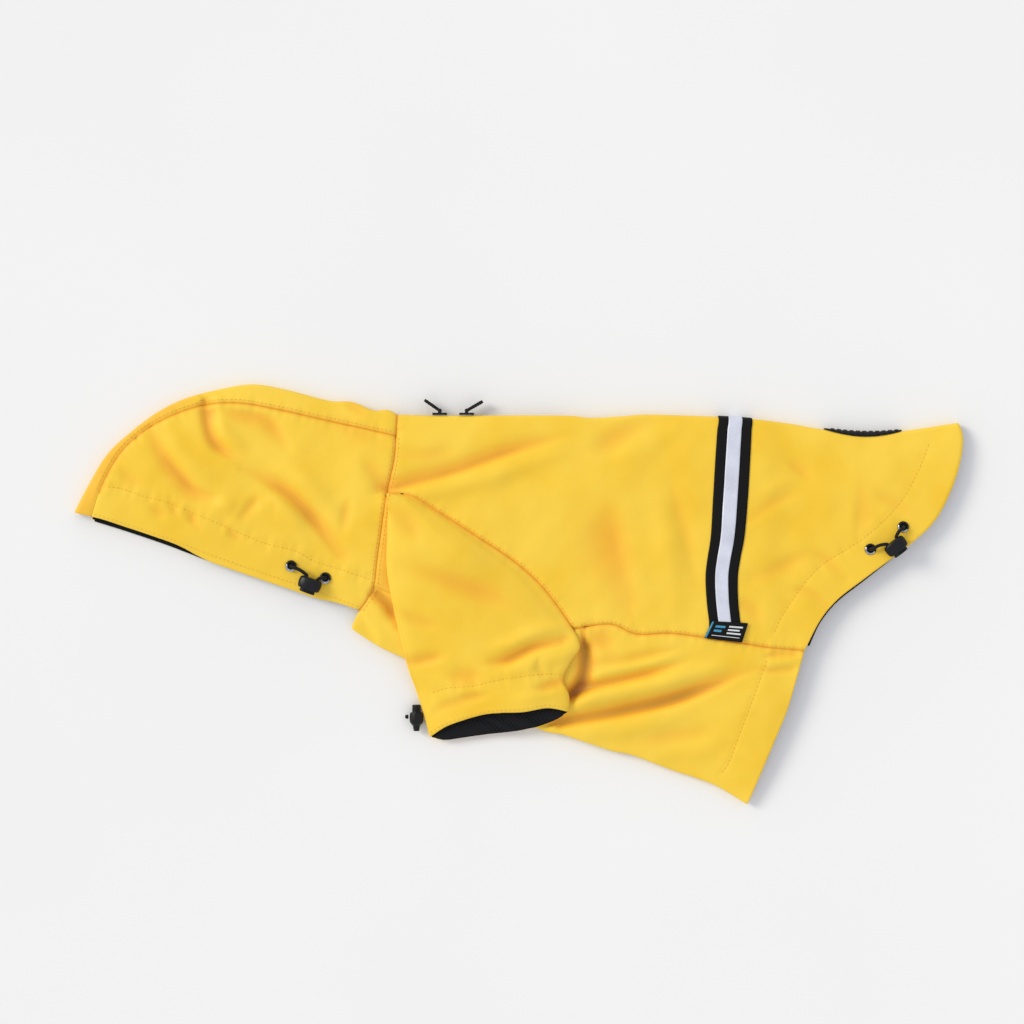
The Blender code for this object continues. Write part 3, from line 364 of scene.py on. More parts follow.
def body_top(x, y):
    """Height of the near side of hood and body, held clear of the far side."""
    slack = 0.55 * waves(x, y, 70, 3) + 0.22 * waves(x, y, 24, 5)
    top = near_height(x, y) + slack + relief(x, y, BODY_FOLDS + HOOD_FOLDS) + puckers(x, y, SEAM_ROWS)
    return np.maximum(top, far_height(x) + LEAST_HEIGHT)


def painted_crease_shade(x, y, folds, rows):
    """Painted shade of a point, from 0 to 1, by how deep it lies in a trough or a sewn groove."""
    painted_shade_amount = np.clip(-relief(x, y, folds) / FULL_SHADE_DEPTH, 0, 1) ** 1.15
    for line in rows:
        near = around(x, y, line, 6)
        if near.any():
            gap = beside(x[near], y[near], line)[0]
            painted_shade_amount[near] = np.maximum(painted_shade_amount[near], SEAM_PAINTED_SHADE * np.exp(-(gap / 1.5) ** 2))
    return painted_shade_amount


def body_painted_shade(x, y):
    """Painted shade in the creases of hood and body."""
    return painted_crease_shade(x, y, BODY_FOLDS + HOOD_FOLDS, SEAM_ROWS[3:])


def sleeve_painted_shade(x, y):
    """Painted shade in the creases of the sleeve."""
    return painted_crease_shade(x, y, SLEEVE_FOLDS, [RAGLAN])


CROWN_PAINTED_SHADE, YOKE_PAINTED_SHADE = 0.24, 0.26     # even painted shade at the hood's tip and over the yoke


def crown_painted_shade(x, y):
    """Painted shade in the body's creases, and an even painted shade towards the tip of the hood."""
    return np.maximum(body_painted_shade(x, y), CROWN_PAINTED_SHADE * ramp(x, -225, -275))


def yoke_painted_shade(x, y):
    """One even painted shade all over the yoke."""
    return np.full(x.shape, YOKE_PAINTED_SHADE)


def no_painted_shade(x, y):
    """No painted shade, for the pieces that lie underneath."""
    return np.zeros(x.shape)


def far_side(x, y):
    """Right side's outer face: flat where it rests, with shallow creases that lift off."""
    lifted = np.clip(waves(x, y, 34, 11) - 0.35, 0, 1) * 0.8
    return far_height(x) + lifted * ramp(far_height(x), 0.0, 1.2)


# =============================== grids of points ===============================
def patch(top, bottom, left, right, fade=1):
    """Points inside four sides, grid[column][row]: straight from top to bottom, plus the
    left and right sides' own curves, which fade out faster into the patch with a higher fade."""
    u = np.linspace(0, 1, len(top))[:, None, None]
    v = np.linspace(0, 1, len(left))[None, :, None]
    left_curve = left[None] - (left[0] * (1 - v) + left[-1] * v)
    right_curve = right[None] - (right[0] * (1 - v) + right[-1] * v)
    straight = top[:, None] * (1 - v) + bottom[:, None] * v
    return straight + left_curve * (1 - u) ** fade + right_curve * u ** fade


def unit(vectors):
    """Vectors brought to length one."""
    return vectors / np.maximum(np.linalg.norm(vectors, axis=-1, keepdims=True), 1e-9)


def drawn(grid, first, last):
    """Rows of points with both ends drawn in, the points between following more and more."""
    share = np.linspace(0, 1, grid.shape[1])[None, :, None]
    start = unit(grid[:, 1] - grid[:, 0])[:, None] * np.reshape(first, (-1, 1, 1))
    stop = unit(grid[:, -2] - grid[:, -1])[:, None] * np.reshape(last, (-1, 1, 1))
    return grid + start * (1 - share) ** 2 + stop * share ** 2


def trim(grid, first_row=0.0, last_row=0.0, first_column=0.0, last_column=0.0):
    """The grid with its sides drawn in, which leaves the seam gaps."""
    across = drawn(grid, first_row, last_row).transpose(1, 0, 2)
    return drawn(across, first_column, last_column).transpose(1, 0, 2)


def raised(plan, height):
    """A plan grid with the height of each of its points."""
    return np.concatenate([plan, height(plan[..., 0], plan[..., 1])[..., None]], axis=-1)


def fold_arc(edge, inner, bulge, top, low, angles):
    """Points round a fold, one line of them for each edge point, out from its upper face."""
    a = np.radians(angles)
    out = unit(edge - inner)[:, None] * np.reshape(bulge, (-1, 1, 1)) * np.cos(a)[..., None]
    middle, half = (top + low) / 2, (top - low) / 2
    level = middle[:, None] + half[:, None] * np.sin(a)
    return np.concatenate([edge[:, None] + out, level[..., None]], axis=-1)


def normals(grid):
    """Unit normals of a grid of points, up where the grid faces up."""
    along = np.gradient(grid, axis=0)
    across = np.gradient(grid, axis=1)
    return unit(np.cross(across, along))


def moved(grid, distance):
    """The grid moved along its normals, outwards where distance is positive."""
    return grid + normals(grid) * distance


def rolled(grid, sides, depth=0.55, width=1.9):
    """Turns the named sides of a panel in towards its seam."""
    drop = np.zeros(grid.shape[:2])
    for axis, first, last in ((1, "top", "bottom"), (0, "left", "right")):
        steps = np.linalg.norm(np.diff(grid, axis=axis), axis=-1)
        pad = [(0, 0), (0, 0)]
        pad[axis] = (1, 0)
        from_first = np.pad(np.cumsum(steps, axis=axis), pad)
        from_last = from_first.max(axis=axis, keepdims=True) - from_first
        for side, away in ((first, from_first), (last, from_last)):
            if side in sides:
                drop += depth * np.exp(-(away / width) ** 2)
    return grid - normals(grid) * drop[..., None]


# =============================== meshes ===============================
def srgb(code):
    """Linear colour of an sRGB hex code."""
    channels = [int(code[k:k + 2], 16) / 255 for k in (1, 3, 5)]
    return tuple(c / 12.92 if c <= 0.04045 else ((c + 0.055) / 1.055) ** 2.4 for c in channels) + (1.0,)


def make(name, corners, faces, finishes, body="root", replaces=(), indices=None, smooth=60):
    """One piece from corners in millimetres: its finishes, and what it rides on and stands for."""
    mesh = bpy.data.meshes.new(name)
    mesh.from_pydata((np.asarray(corners, float) * MM).tolist(), [], faces)
    for finish in finishes:
        mesh.materials.append(finish)
    if indices is not None:
        mesh.polygons.foreach_set("material_index", indices)
    work = bmesh.new()
    work.from_mesh(mesh)
    bmesh.ops.recalc_face_normals(work, faces=work.faces)
    work.to_mesh(mesh)
    work.free()
    mesh.shade_smooth()
    if smooth < 180:
        mesh.set_sharp_from_angle(angle=math.radians(smooth))
    obj = bpy.data.objects.new(name, mesh)
    bpy.context.collection.objects.link(obj)
    declare(obj, body, replaces)
    return obj


def declare(obj, body="root", replaces=()):
    """Says which body a piece rides on and the nodes it stands in for."""
    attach(obj, body)
    if replaces:
        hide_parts(*replaces)


def wall_mesh(outer, thickness, edge_round=0.35):
    """Corners, faces and finish numbers of a closed cloth wall with a rounded rim."""
    inner = moved(outer, -thickness)
    columns, rows = outer.shape[:2]
    layer = columns * rows
    number = np.arange(layer).reshape(columns, rows)
    a, b, c, d = number[:-1, :-1], number[1:, :-1], number[1:, 1:], number[:-1, 1:]
    outside = np.stack([a, b, c, d], axis=-1).reshape(-1, 4)
    inside = (np.stack([a, d, c, b], axis=-1) + layer).reshape(-1, 4)
    rim = np.concatenate([number[:, 0], number[-1, 1:], number[-2::-1, -1], number[0, -2:0:-1]])
    next_in = np.concatenate([number[:, 1], number[-2, 1:], number[-2::-1, -2], number[1, -2:0:-1]])
    flat = outer.reshape(-1, 3)
    out = unit(flat[rim] - flat[next_in]) * edge_round * thickness
    middle = (flat[rim] + inner.reshape(-1, 3)[rim]) / 2 + out
    ring = 2 * layer + np.arange(len(rim))
    following, ring_next = np.roll(rim, -1), np.roll(ring, -1)
    upper = np.stack([rim, following, ring_next, ring], axis=-1)
    lower = np.stack([ring, ring_next, following + layer, rim + layer], axis=-1)
    corners = np.concatenate([flat, inner.reshape(-1, 3), middle])
    faces = np.concatenate([outside, inside, upper, lower])
    indices = [0] * len(outside) + [1] * len(inside) + [0] * (len(upper) + len(lower))
    return corners, faces.tolist(), indices


def wall(name, outer, thickness, outside, inside, replaces, painted_shade_amount=None):
    """A closed wall of cloth; the last argument gives each point of its grid the painted shade of its crease.
    """
    corners, faces, indices = wall_mesh(outer, thickness)
    obj = make(name, corners, faces, [outside, inside], replaces=replaces, indices=indices, smooth=180)
    # painted shade: each point's amount is kept as the point attribute crease, which darkens the shell's
    # colour
    if painted_shade_amount is not None:
        depths = np.zeros(len(corners))
        depths[:painted_shade_amount.size] = painted_shade_amount.ravel()
        obj.data.attributes.new("crease", "FLOAT", "POINT").data.foreach_set("value", depths)
    return obj


def softened(rings, rounds=2):
    """Rings of a turned shape with their corners cut round, ends kept."""
    rings = np.array(rings, float)
    for _ in range(rounds):
        quarter = rings[:-1] * 0.75 + rings[1:] * 0.25
        three = rings[:-1] * 0.25 + rings[1:] * 0.75
        rings = np.vstack([rings[:1], np.stack([quarter, three], axis=1).reshape(-1, 3)[1:-1], rings[-1:]])
    return rings


def lofted_mesh(centre, axis, rings, sides=40, power=1.0):
    """Closed solid of oval rings along a level axis, squarer with a lower power."""
    axis = Vector((axis[0], axis[1], 0)).normalized()
    across = Vector((-axis.y, axis.x, 0))
    centre = Vector(centre)
    corners = [centre + axis * rings[0][0]]
    for along, half_wide, half_high in rings:
        for s in range(sides):
            c, v = math.cos(math.tau * s / sides), math.sin(math.tau * s / sides)
            c, v = math.copysign(abs(c) ** power, c), math.copysign(abs(v) ** power, v)
            corners.append(centre + axis * along + across * half_wide * c + Vector((0, 0, half_high * v)))
    corners.append(centre + axis * rings[-1][0])
    last = len(corners) - 1
    faces = []
    for s in range(sides):
        t = (s + 1) % sides
        faces.append((0, 1 + s, 1 + t))
        for r in range(len(rings) - 1):
            low, high = 1 + r * sides, 1 + (r + 1) * sides
            faces.append((low + s, low + t, high + t, high + s))
        faces.append((last, last - sides + s, last - sides + t))
    return [tuple(c) for c in corners], faces


def together(parts):
    """Several (corners, faces) meshes as one."""
    corners, faces = [], []
    for some_corners, some_faces in parts:
        start = len(corners)
        corners += [tuple(c) for c in some_corners]
        faces += [tuple(start + k for k in face) for face in some_faces]
    return corners, faces


# =============================== finishes ===============================
def add(tree, kind, values=None, links=None, **settings):
    """Adds a node with its settings, its input values and the sockets linked to its inputs."""
    made = tree.nodes.new(kind)
    for name, value in settings.items():
        setattr(made, name, value)
    for name, value in (values or {}).items():
        made.inputs[name].default_value = value
    for name, socket in (links or {}).items():
        tree.links.new(socket, made.inputs[name])
    return made


def finish(name, colour, roughness, metallic=0.0, **sockets):
    """A Principled material with its place on the object in metres; returns what a pattern needs."""
    material = bpy.data.materials.new(name)
    material.use_nodes = True
    tree = material.node_tree
    shader = tree.nodes["Principled BSDF"]
    shader.inputs["Base Color"].default_value = srgb(colour)
    shader.inputs["Roughness"].default_value = roughness
    shader.inputs["Metallic"].default_value = metallic
    for socket, value in sockets.items():
        shader.inputs[socket.replace("_", " ")].default_value = value
    place = add(tree, "ShaderNodeTexCoord").outputs["Object"]
    return material, tree, shader, place


def bands(tree, place, spacing, direction="X", distortion=0.0, turn=0.0):
    """Ridges spacing millimetres apart; a wave texture repeats every pi / 10 of its scale."""
    turned = add(tree, "ShaderNodeMapping", {"Rotation": (0, 0, turn)}, {"Vector": place})
    return add(tree, "ShaderNodeTexWave", {"Scale": math.pi / 10 / (spacing * MM), "Distortion": distortion,
                                           "Detail": 1.0, "Detail Scale": 2.0},
               {"Vector": turned.outputs[0]}, wave_type="BANDS", bands_direction=direction).outputs["Fac"]


def grain(tree, place, size, detail=3.0):
    """Soft random spots about size millimetres across."""
    return add(tree, "ShaderNodeTexNoise", {"Scale": 1 / (size * MM), "Detail": detail},
               {"Vector": place}).outputs["Fac"]


def calc(tree, operation, first, second):
    """One sum of two sockets, or of a socket and a number."""
    made = add(tree, "ShaderNodeMath", operation=operation)
    for socket, value in zip(made.inputs, (first, second)):
        if isinstance(value, (int, float)):
            socket.default_value = value
        else:
            tree.links.new(value, socket)
    return made.outputs[0]


def tinted(tree, shader, factor, low, high, start=0.3, stop=0.7):
    """Base colour that runs from one tone to another as factor goes from start to stop."""
    tones = add(tree, "ShaderNodeValToRGB", links={"Fac": factor})
    for element, at, code in zip(tones.color_ramp.elements, (start, stop), (low, high)):
        element.position = at
        element.color = srgb(code)
    tree.links.new(tones.outputs[0], shader.inputs["Base Color"])


def embossed(tree, shader, *layers):
    """Bump from (height socket, depth in millimetres) layers, each on the one before."""
    normal = None
    for height, depth in layers:
        links = {"Height": height}
        if normal:
            links["Normal"] = normal
        normal = add(tree, "ShaderNodeBump", {"Strength": 1.0, "Distance": depth * MM}, links).outputs[0]
    tree.links.new(normal, shader.inputs["Normal"])


def varied(tree, shader, factor, low, high):
    """Roughness between two values."""
    scaled = add(tree, "ShaderNodeMapRange", {"To Min": low, "To Max": high}, {"Value": factor})
    tree.links.new(scaled.outputs[0], shader.inputs["Roughness"])


CREASE_SHADES = ((0.3, "#F6B432"), (0.7, "#CF9428"), (1.0, "#A5671F"))     # painted shade in creases, by depth from shallow to deepest
CREASE_STRENGTH = 2.6      # how soon a crease takes its full painted shade


def coated_polyester():
    """Yellow woven polyester with a matt waterproof coating: a fine plain weave, a soft sheen
    and small crumples from wear. Threads are 0.25 mm apart, drawn at 1.1 mm to show at all.
    Creases are painted orange to brown by the depth of each point's crease, as painted shade."""
    material, tree, shader, place = finish("coated_yellow_polyester", "#F8CB33", 0.52, Sheen_Weight=0.06,
                                           Sheen_Roughness=0.5, Specular_IOR_Level=0.32)
    weave = calc(tree, "MULTIPLY", bands(tree, place, 1.1, "X"), bands(tree, place, 1.1, "Y"))
    mottle = grain(tree, place, 46, 2.0)
    tinted(tree, shader, calc(tree, "ADD", calc(tree, "MULTIPLY", weave, 0.16), mottle), "#F6C62C", "#FBD244")
    flat_tone = shader.inputs["Base Color"].links[0].from_socket
    # painted shade: the crease attribute mixes the cloth's colour towards orange and brown in creases and
    # sewn grooves
    crease = add(tree, "ShaderNodeAttribute", attribute_name="crease").outputs["Fac"]
    shades = add(tree, "ShaderNodeValToRGB", links={"Fac": crease})
    shades.color_ramp.elements.new(CREASE_SHADES[1][0])
    for element, (at, code) in zip(shades.color_ramp.elements, CREASE_SHADES):
        element.position = at
        element.color = srgb(code)
    toned = add(tree, "ShaderNodeMix", links={0: calc(tree, "MULTIPLY", crease, CREASE_STRENGTH),
                                              6: flat_tone, 7: shades.outputs[0]}, data_type="RGBA")
    tree.links.new(toned.outputs[2], shader.inputs["Base Color"])
    embossed(tree, shader, (weave, 0.035), (grain(tree, place, 5.5, 2.0), 0.09),
             (grain(tree, place, 21, 2.0), 0.35))
    varied(tree, shader, grain(tree, place, 12), 0.46, 0.6)
    return material


def sewing_thread():
    """Twisted polyester thread in the shell's yellow, a little glossier than the cloth."""
    material, tree, shader, place = finish("yellow_polyester_thread", "#F8CC38", 0.45, Sheen_Weight=0.1)
    twist = bands(tree, place, 0.5, "DIAGONAL")
    tinted(tree, shader, twist, "#EDB527", "#FAD24C")
    embossed(tree, shader, (twist, 0.05))
    return material


def mesh_lining():
    """Black warp-knitted polyester mesh: round openings 2.4 mm apart in dull yarn."""
    material, tree, shader, place = finish("black_knitted_mesh", "#050506", 0.8, Sheen_Weight=0.05,
                                           Sheen_Roughness=0.4, Specular_IOR_Level=0.18)
    turned = add(tree, "ShaderNodeMapping", {"Rotation": (0, 0, math.radians(45))}, {"Vector": place})
    holes = add(tree, "ShaderNodeTexVoronoi", {"Scale": 1 / (2.4 * MM), "Randomness": 0.12},
                {"Vector": turned.outputs[0]}).outputs["Distance"]
    tinted(tree, shader, holes, "#010101", "#17181B", 0.2, 0.48)
    embossed(tree, shader, (holes, 0.9), (grain(tree, place, 0.6), 0.15))
    return material


def webbing():
    """Black woven polyester ribbon with fine ribs across it, 1.2 mm apart."""
    material, tree, shader, place = finish("black_ribbed_webbing", "#060607", 0.7, Sheen_Weight=0.04,
                                           Specular_IOR_Level=0.2)
    ribs = bands(tree, place, 1.2, "Y", 0.4)
    threads = bands(tree, place, 0.9, "X")
    tinted(tree, shader, calc(tree, "MULTIPLY", ribs, threads), "#030304", "#0C0D0F", 0.1, 0.8)
    embossed(tree, shader, (ribs, 0.12), (threads, 0.06))
    return material


def retroreflective():
    """Silver retroreflective film of tiny glass beads: even pale grey with a faint fine grain."""
    material, tree, shader, place = finish("silver_bead_film", "#D5D8E8", 0.4, 0.12, Coat_Weight=0.25,
                                           Coat_Roughness=0.25)
    beads = grain(tree, place, 0.9, 4.0)
    tinted(tree, shader, calc(tree, "ADD", calc(tree, "MULTIPLY", beads, 0.5), grain(tree, place, 14)),
           "#C9CCDB", "#E0E3F1", 0.5, 1.0)
    embossed(tree, shader, (beads, 0.03))
    return material


def woven_tone(name, low, high):
    """Damask-woven polyester, its picks 0.7 mm apart, in one colour of yarn."""
    material, tree, shader, place = finish(name, low, 0.6, Sheen_Weight=0.04, Specular_IOR_Level=0.2)
    picks = calc(tree, "MULTIPLY", bands(tree, place, 0.7, "Y"), bands(tree, place, 0.9, "X"))
    tinted(tree, shader, picks, low, high, 0.1, 0.8)
    embossed(tree, shader, (picks, 0.07))
    return material


def moulded(name, low, high, roughness, grit=0.8, depth=0.03):
    """Black moulded plastic or rubber: satin, with the fine spark texture of its mould."""
    material, tree, shader, place = finish(name, low, roughness, Specular_IOR_Level=0.32)
    spark = grain(tree, place, grit)
    tinted(tree, shader, grain(tree, place, 5), low, high)
    embossed(tree, shader, (spark, depth))
    varied(tree, shader, spark, roughness - 0.06, roughness + 0.06)
    return material


def highlight_nickel():
    """Nickel-plated brass, bright and unevenly dulled, used as a painted highlight on the eyelets' inner lip.
    """
    material, tree, shader, place = finish("nickel_painted_highlight", "#B9BCC2", 0.24, 1.0)
    dull_spots = grain(tree, place, 1.6)
    tinted(tree, shader, dull_spots, "#8E9095", "#C9CBD0", 0.35, 0.65)
    varied(tree, shader, dull_spots, 0.18, 0.34)
    return material


def braided_cord():
    """Black braided polyester cord, its strands crossing every 1.3 mm."""
    material, tree, shader, place = finish("black_braided_cord", "#060607", 0.62, Sheen_Weight=0.05,
                                           Specular_IOR_Level=0.25)
    strands = calc(tree, "MAXIMUM", bands(tree, place, 1.3, "DIAGONAL"),
                   bands(tree, place, 1.3, "DIAGONAL", 0.0, math.radians(90)))
    tinted(tree, shader, strands, "#020202", "#101114", 0.3, 0.95)
    embossed(tree, shader, (strands, 0.25))
    return material


def smooth_floor():
    """Pale painted board, almost white, with a trace of uneven sheen."""
    material, tree, shader, place = finish("pale_painted_board", "#F4F4F4", 0.8, Specular_IOR_Level=0.1)
    tinted(tree, shader, grain(tree, place, 300, 2.0), "#F3F3F3", "#F5F5F5")
    return material


SHELL = coated_polyester()
THREAD = sewing_thread()
MESH = mesh_lining()
WEBBING = webbing()
SILVER = retroreflective()
LABEL_BLACK = woven_tone("black_label_damask", "#030304", "#0B0C0E")
LABEL_BLUE = woven_tone("blue_label_damask", "#3F8FB4", "#5AAFD0")
LABEL_WHITE = woven_tone("white_label_damask", "#D6DADC", "#F2F4F4")
RUBBER = moulded("moulded_black_rubber", "#060607", "#0C0D0E", 0.6)
NYLON = moulded("moulded_black_nylon", "#060708", "#0D0E10", 0.36, 1.2, 0.02)
# bright metal for the eyelets' painted highlight
HIGHLIGHT_METAL = highlight_nickel()
LACQUER = moulded("black_baked_lacquer", "#08090A", "#101113", 0.28, 1.2, 0.01)
CORD = braided_cord()


# =============================== stage ===============================
def build_stage():
    """Camera straight above, a pale board, a broad soft key light from the upper left and fill."""
    scene = bpy.context.scene
    scene.view_settings.view_transform = "Standard"
    camera = bpy.data.objects.new("camera", bpy.data.cameras.new("camera"))
    camera.data.lens = 85
    camera.location = (-0.0041, 0.0619, 1.825)
    scene.collection.objects.link(camera)
    scene.camera = camera

    half = 4.0
    mesh = bpy.data.meshes.new("floor")
    mesh.from_pydata([(-half, -half, -0.0003), (half, -half, -0.0003), (half, half, -0.0003),
                      (-half, half, -0.0003)], [], [(0, 1, 2, 3)])
    mesh.materials.append(smooth_floor())
    floor = bpy.data.objects.new("floor", mesh)
    scene.collection.objects.link(floor)

    key = bpy.data.lights.new("key", "SUN")
    key.energy = 1.47
    key.angle = math.radians(24)
    key.color = (1.0, 0.955, 0.79)
    lamp = bpy.data.objects.new("key", key)
    lamp.rotation_euler = Vector((-0.82, 0.38, 0.64)).to_track_quat("Z", "Y").to_euler()
    scene.collection.objects.link(lamp)
    world = bpy.data.worlds.new("soft_room")
    world.use_nodes = True
    sky = world.node_tree.nodes["Background"]
    sky.inputs["Color"].default_value = (0.925, 0.94, 1.0, 1.0)
    sky.inputs["Strength"].default_value = 0.775
    scene.world = world


# =============================== cords ===============================
CORD_D = 2.6
HOOD_LOCK_OUT = (-0.342, -0.94)
HEM_LOCK_OUT = (0.616, -0.788)
HOOD_EYELETS = [(-169.7, 21.4), (-144.1, 12.4)]
HEM_EYELETS = [(289.0, 50.7), (264.4, 34.0)]
HOOD_LOCK = np.array((-155.4, 8.0, float(near_height(-153, 13)) + 4.65))
HEM_LOCK = np.array((282.8, 36.4, float(near_height(280, 42)) + 4.9))
CUFF_LOCK = np.array((-76.0, -94.3, 4.9))
LOCK_BACK = 4.7


def cord_route(eyelet, lock, out, side):
    """Up out of an eyelet, over its rim and into the lock's inner face."""
    out = unit(np.array([out[0], out[1], 0.0]))
    across = np.array([-out[1], out[0], 0.0])
    entry = lock - out * (LOCK_BACK + LAY_GAP + 0.4) + across * 4.6 * side
    foot = np.array([*eyelet, float(near_height(*eyelet)) + 1.6])
    level = np.array([*eyelet, entry[2]])
    bend = foot + (level - foot) * 0.8 + (entry - level) * 0.12
    inside = lock - out * 2.9 + across * 3.4 * side
    return [foot, bend, (level * 0.45 + entry * 0.55) - out * 0.9, entry, inside]


def build_drawcord(name, eyelets, sides, lock, out, replaces):
    """One cord out of the first eyelet, through the lock and back into the second."""
    first = cord_route(eyelets[0], lock, out, sides[0])
    second = cord_route(eyelets[1], lock, out, sides[1])
    below = [first[0] - (0, 0, 2.2)]
    route = smooth_through(below + first + second[::-1] + [second[0] - (0, 0, 2.2)], 5)
    curve = bpy.data.curves.new(name, "CURVE")
    curve.dimensions = "3D"
    curve.bevel_depth = CORD_D / 2 * MM
    curve.bevel_resolution = 4
    curve.use_fill_caps = True
    spline = curve.splines.new("POLY")
    spline.points.add(len(route) - 1)
    for point, place in zip(spline.points, route):
        point.co = (*(place * MM), 1)
    curve.materials.append(CORD)
    obj = bpy.data.objects.new(name, curve)
    bpy.context.collection.objects.link(obj)
    declare(obj, replaces=replaces)
    return obj


def build_cords():
    """The drawcords of hood and hem, where they show."""
    build_drawcord("hood_drawcord", HOOD_EYELETS, (-1, 1), HOOD_LOCK, HOOD_LOCK_OUT,
                   ("hood_cord_front", "hood_cord_rear"))
    build_drawcord("hem_drawcord", HEM_EYELETS, (1, -1), HEM_LOCK, HEM_LOCK_OUT,
                   ("hem_cord_upper", "hem_cord_lower"))


# =============================== cloth panels ===============================
def body_plan():
    """Plan of the back, and where its columns run."""
    top = joined(run(SPINE, ZIP_CELLS * FINE, 0, 2), run(SPINE, (RAGLAN_CELLS - ZIP_CELLS) * FINE, 2, 4),
                 run(SPINE, UNDERARM_TO_TAPE * FINE, 4, 6), run(SPINE, TAPE_CELLS * FINE, 6, 7),
                 run(SPINE, 2 * FINE, 7, 9), run(SPINE, 3 * FINE, 9, 11), run(SPINE, 2 * FINE, 11, 12))
    low = joined(run(RAGLAN, RAGLAN_CELLS * FINE), side_seam())
    grid = patch(top, low, run(NECK, BACK_ROWS, 0, 3), run(BACK_HEM, BACK_ROWS), 7)
    return trim(grid, SPINE_BULGE, SEAM_GAP / 2, NECK_GAP / 2, 0)


def side_seam():
    """The side seam from the underarm to the hem, past the tape."""
    return joined(run(SIDE_SEAM, UNDERARM_TO_TAPE * FINE, 0, 4), run(SIDE_SEAM, TAPE_CELLS * FINE, 4, 5),
                  run(SIDE_SEAM, TAPE_TO_HEM * FINE, 5, 7))


def spine_angles(columns, at_zip):
    """Angles round the spine fold from where the cloth stops: at_zip there, close behind it."""
    start = np.interp(np.arange(columns), [ZIP_CELLS * FINE, (ZIP_CELLS + 1) * FINE], [at_zip, 8])
    share = np.linspace(0, 1, ARC_STEPS + 1)[:-1]
    return start[:, None] + (90 - start[:, None]) * share


def back_grids():
    """Outer points of the near and the far half of the back, each round its half of the spine."""
    plan = body_plan()
    near = raised(plan, body_top)
    far = raised(plan, far_side)
    edge, inner = plan[:, 0], plan[:, 1]
    top, low = near[:, 0, 2], far[:, 0, 2]
    up = fold_arc(edge, inner, SPINE_BULGE, top, low, spine_angles(len(plan), 20))
    down = fold_arc(edge, inner, SPINE_BULGE, top, low, -spine_angles(len(plan), 42)[:, ::-1])
    left = np.concatenate([up, near], axis=1)
    right = np.concatenate([far[:, ::-1], down], axis=1)
    return left, right


def chest_grid():
    """Chest and belly in one piece, near seam round the belly fold to the far seam."""
    top = joined(run(FRONT_ARMHOLE, RAGLAN_CELLS * FINE), side_seam())
    low = joined(run(BELLY_FOLD, RAGLAN_CELLS * FINE, 0, 5),
                 run(BELLY_FOLD, (UNDERARM_TO_TAPE + TAPE_CELLS) * FINE, 5, 9),
                 run(BELLY_FOLD, TAPE_TO_HEM * FINE, 9, 12))
    left = joined(run(NECK, CHEST_NECK_ROWS, 6, 8), run(CHEST_TIP, CHEST_TIP_ROWS))
    plan = patch(top, low, left, run(BELLY_HEM, CHEST_ROWS))
    plan = trim(plan, SEAM_GAP / 2, BELLY_BULGE, NECK_GAP / 2, 0)
    near, far = raised(plan, body_top), raised(plan, far_side)
    angles = np.tile(np.linspace(90, -90, 2 * ARC_STEPS + 1)[1:-1], (len(plan), 1))
    turn = fold_arc(plan[:, -1], plan[:, -2], BELLY_BULGE, near[:, -1, 2], far[:, -1, 2], angles)
    return np.concatenate([near, turn, far[:, ::-1]], axis=1)


def far_lip(k):
    """How far the hood's far side shows past the near one, cell by cell along the face edge."""
    return 2 * (1 - ramp(k, 10, 13))


def near_lip(k):
    """Near side covers the far one again past the first third of the face edge."""
    return 2.6 * ramp(k, 4.2, 6.4) * (1 - ramp(k, 11.5, 13.5)) - 0.5 * (1 - ramp(k, 0.6, 2)) * ramp(k, 0, 0.5)


def hood_side(lip, height):
    """A side of the hood, from the crown seam to the face edge, which lip lets out."""
    cells, rows = HOOD_CELLS * HOOD_FINE, HOOD_ROWS * HOOD_FINE
    low = run(FACE_EDGE, cells)
    out = lip(np.arange(cells + 1) / HOOD_FINE)
    low = low + np.array((-0.32, -0.95)) * out[:, None]
    left = run(CROWN_SEAM, rows, 0, 4)[::-1]
    left = left + (low[0] - left[-1]) * (np.arange(rows + 1)[:, None] / rows) ** 3
    plan = patch(run(CROWN_SEAM, cells, 4, 12), low, left, run(NECK, rows, 1, 8))
    return raised(trim(plan, SEAM_GAP, 0, SEAM_GAP, NECK_GAP / 2), height)


def crown_grid():
    """Strip over the top of the hood, folded along its middle, from its far to its near side."""
    rows, cells = HOOD_ROWS * HOOD_FINE, HOOD_CELLS * HOOD_FINE
    seam = joined(run(CROWN_SEAM, rows, 0, 4), run(CROWN_SEAM, cells, 4, 12))
    fold = joined(run(HOOD_TOP, rows, 0, 3), run(HOOD_TOP, cells, 3, 13))
    inner = seam + unit(fold - seam) * 0.05
    edge = fold + unit(seam - fold) * SPINE_BULGE
    inner[-1] += unit(inner[-2] - inner[-1]) * NECK_GAP / 2
    edge[-1] += unit(edge[-2] - edge[-1]) * NECK_GAP / 2
    share = np.linspace(0, 1, 11)[None, :, None]
    plan = inner[:, None] * (1 - share) + edge[:, None] * share
    near, far = raised(plan, body_top), raised(plan, far_side)
    angles = np.tile(np.linspace(90, -90, 2 * ARC_STEPS + 1)[1:-1], (len(plan), 1))
    turn = fold_arc(edge, inner, SPINE_BULGE, near[:, -1, 2], far[:, -1, 2], angles)
    return np.concatenate([near, turn, far[:, ::-1]], axis=1)[:, ::-1]


def sleeve_bulge():
    """How far the front fold rounds out at each row, less where the sleeve starts."""
    k = np.arange(SLEEVE_ROWS * SLEEVE_FINE + 1) / SLEEVE_FINE
    return SLEEVE_BULGE * (0.25 + 0.75 * ramp(k, 0, 2))


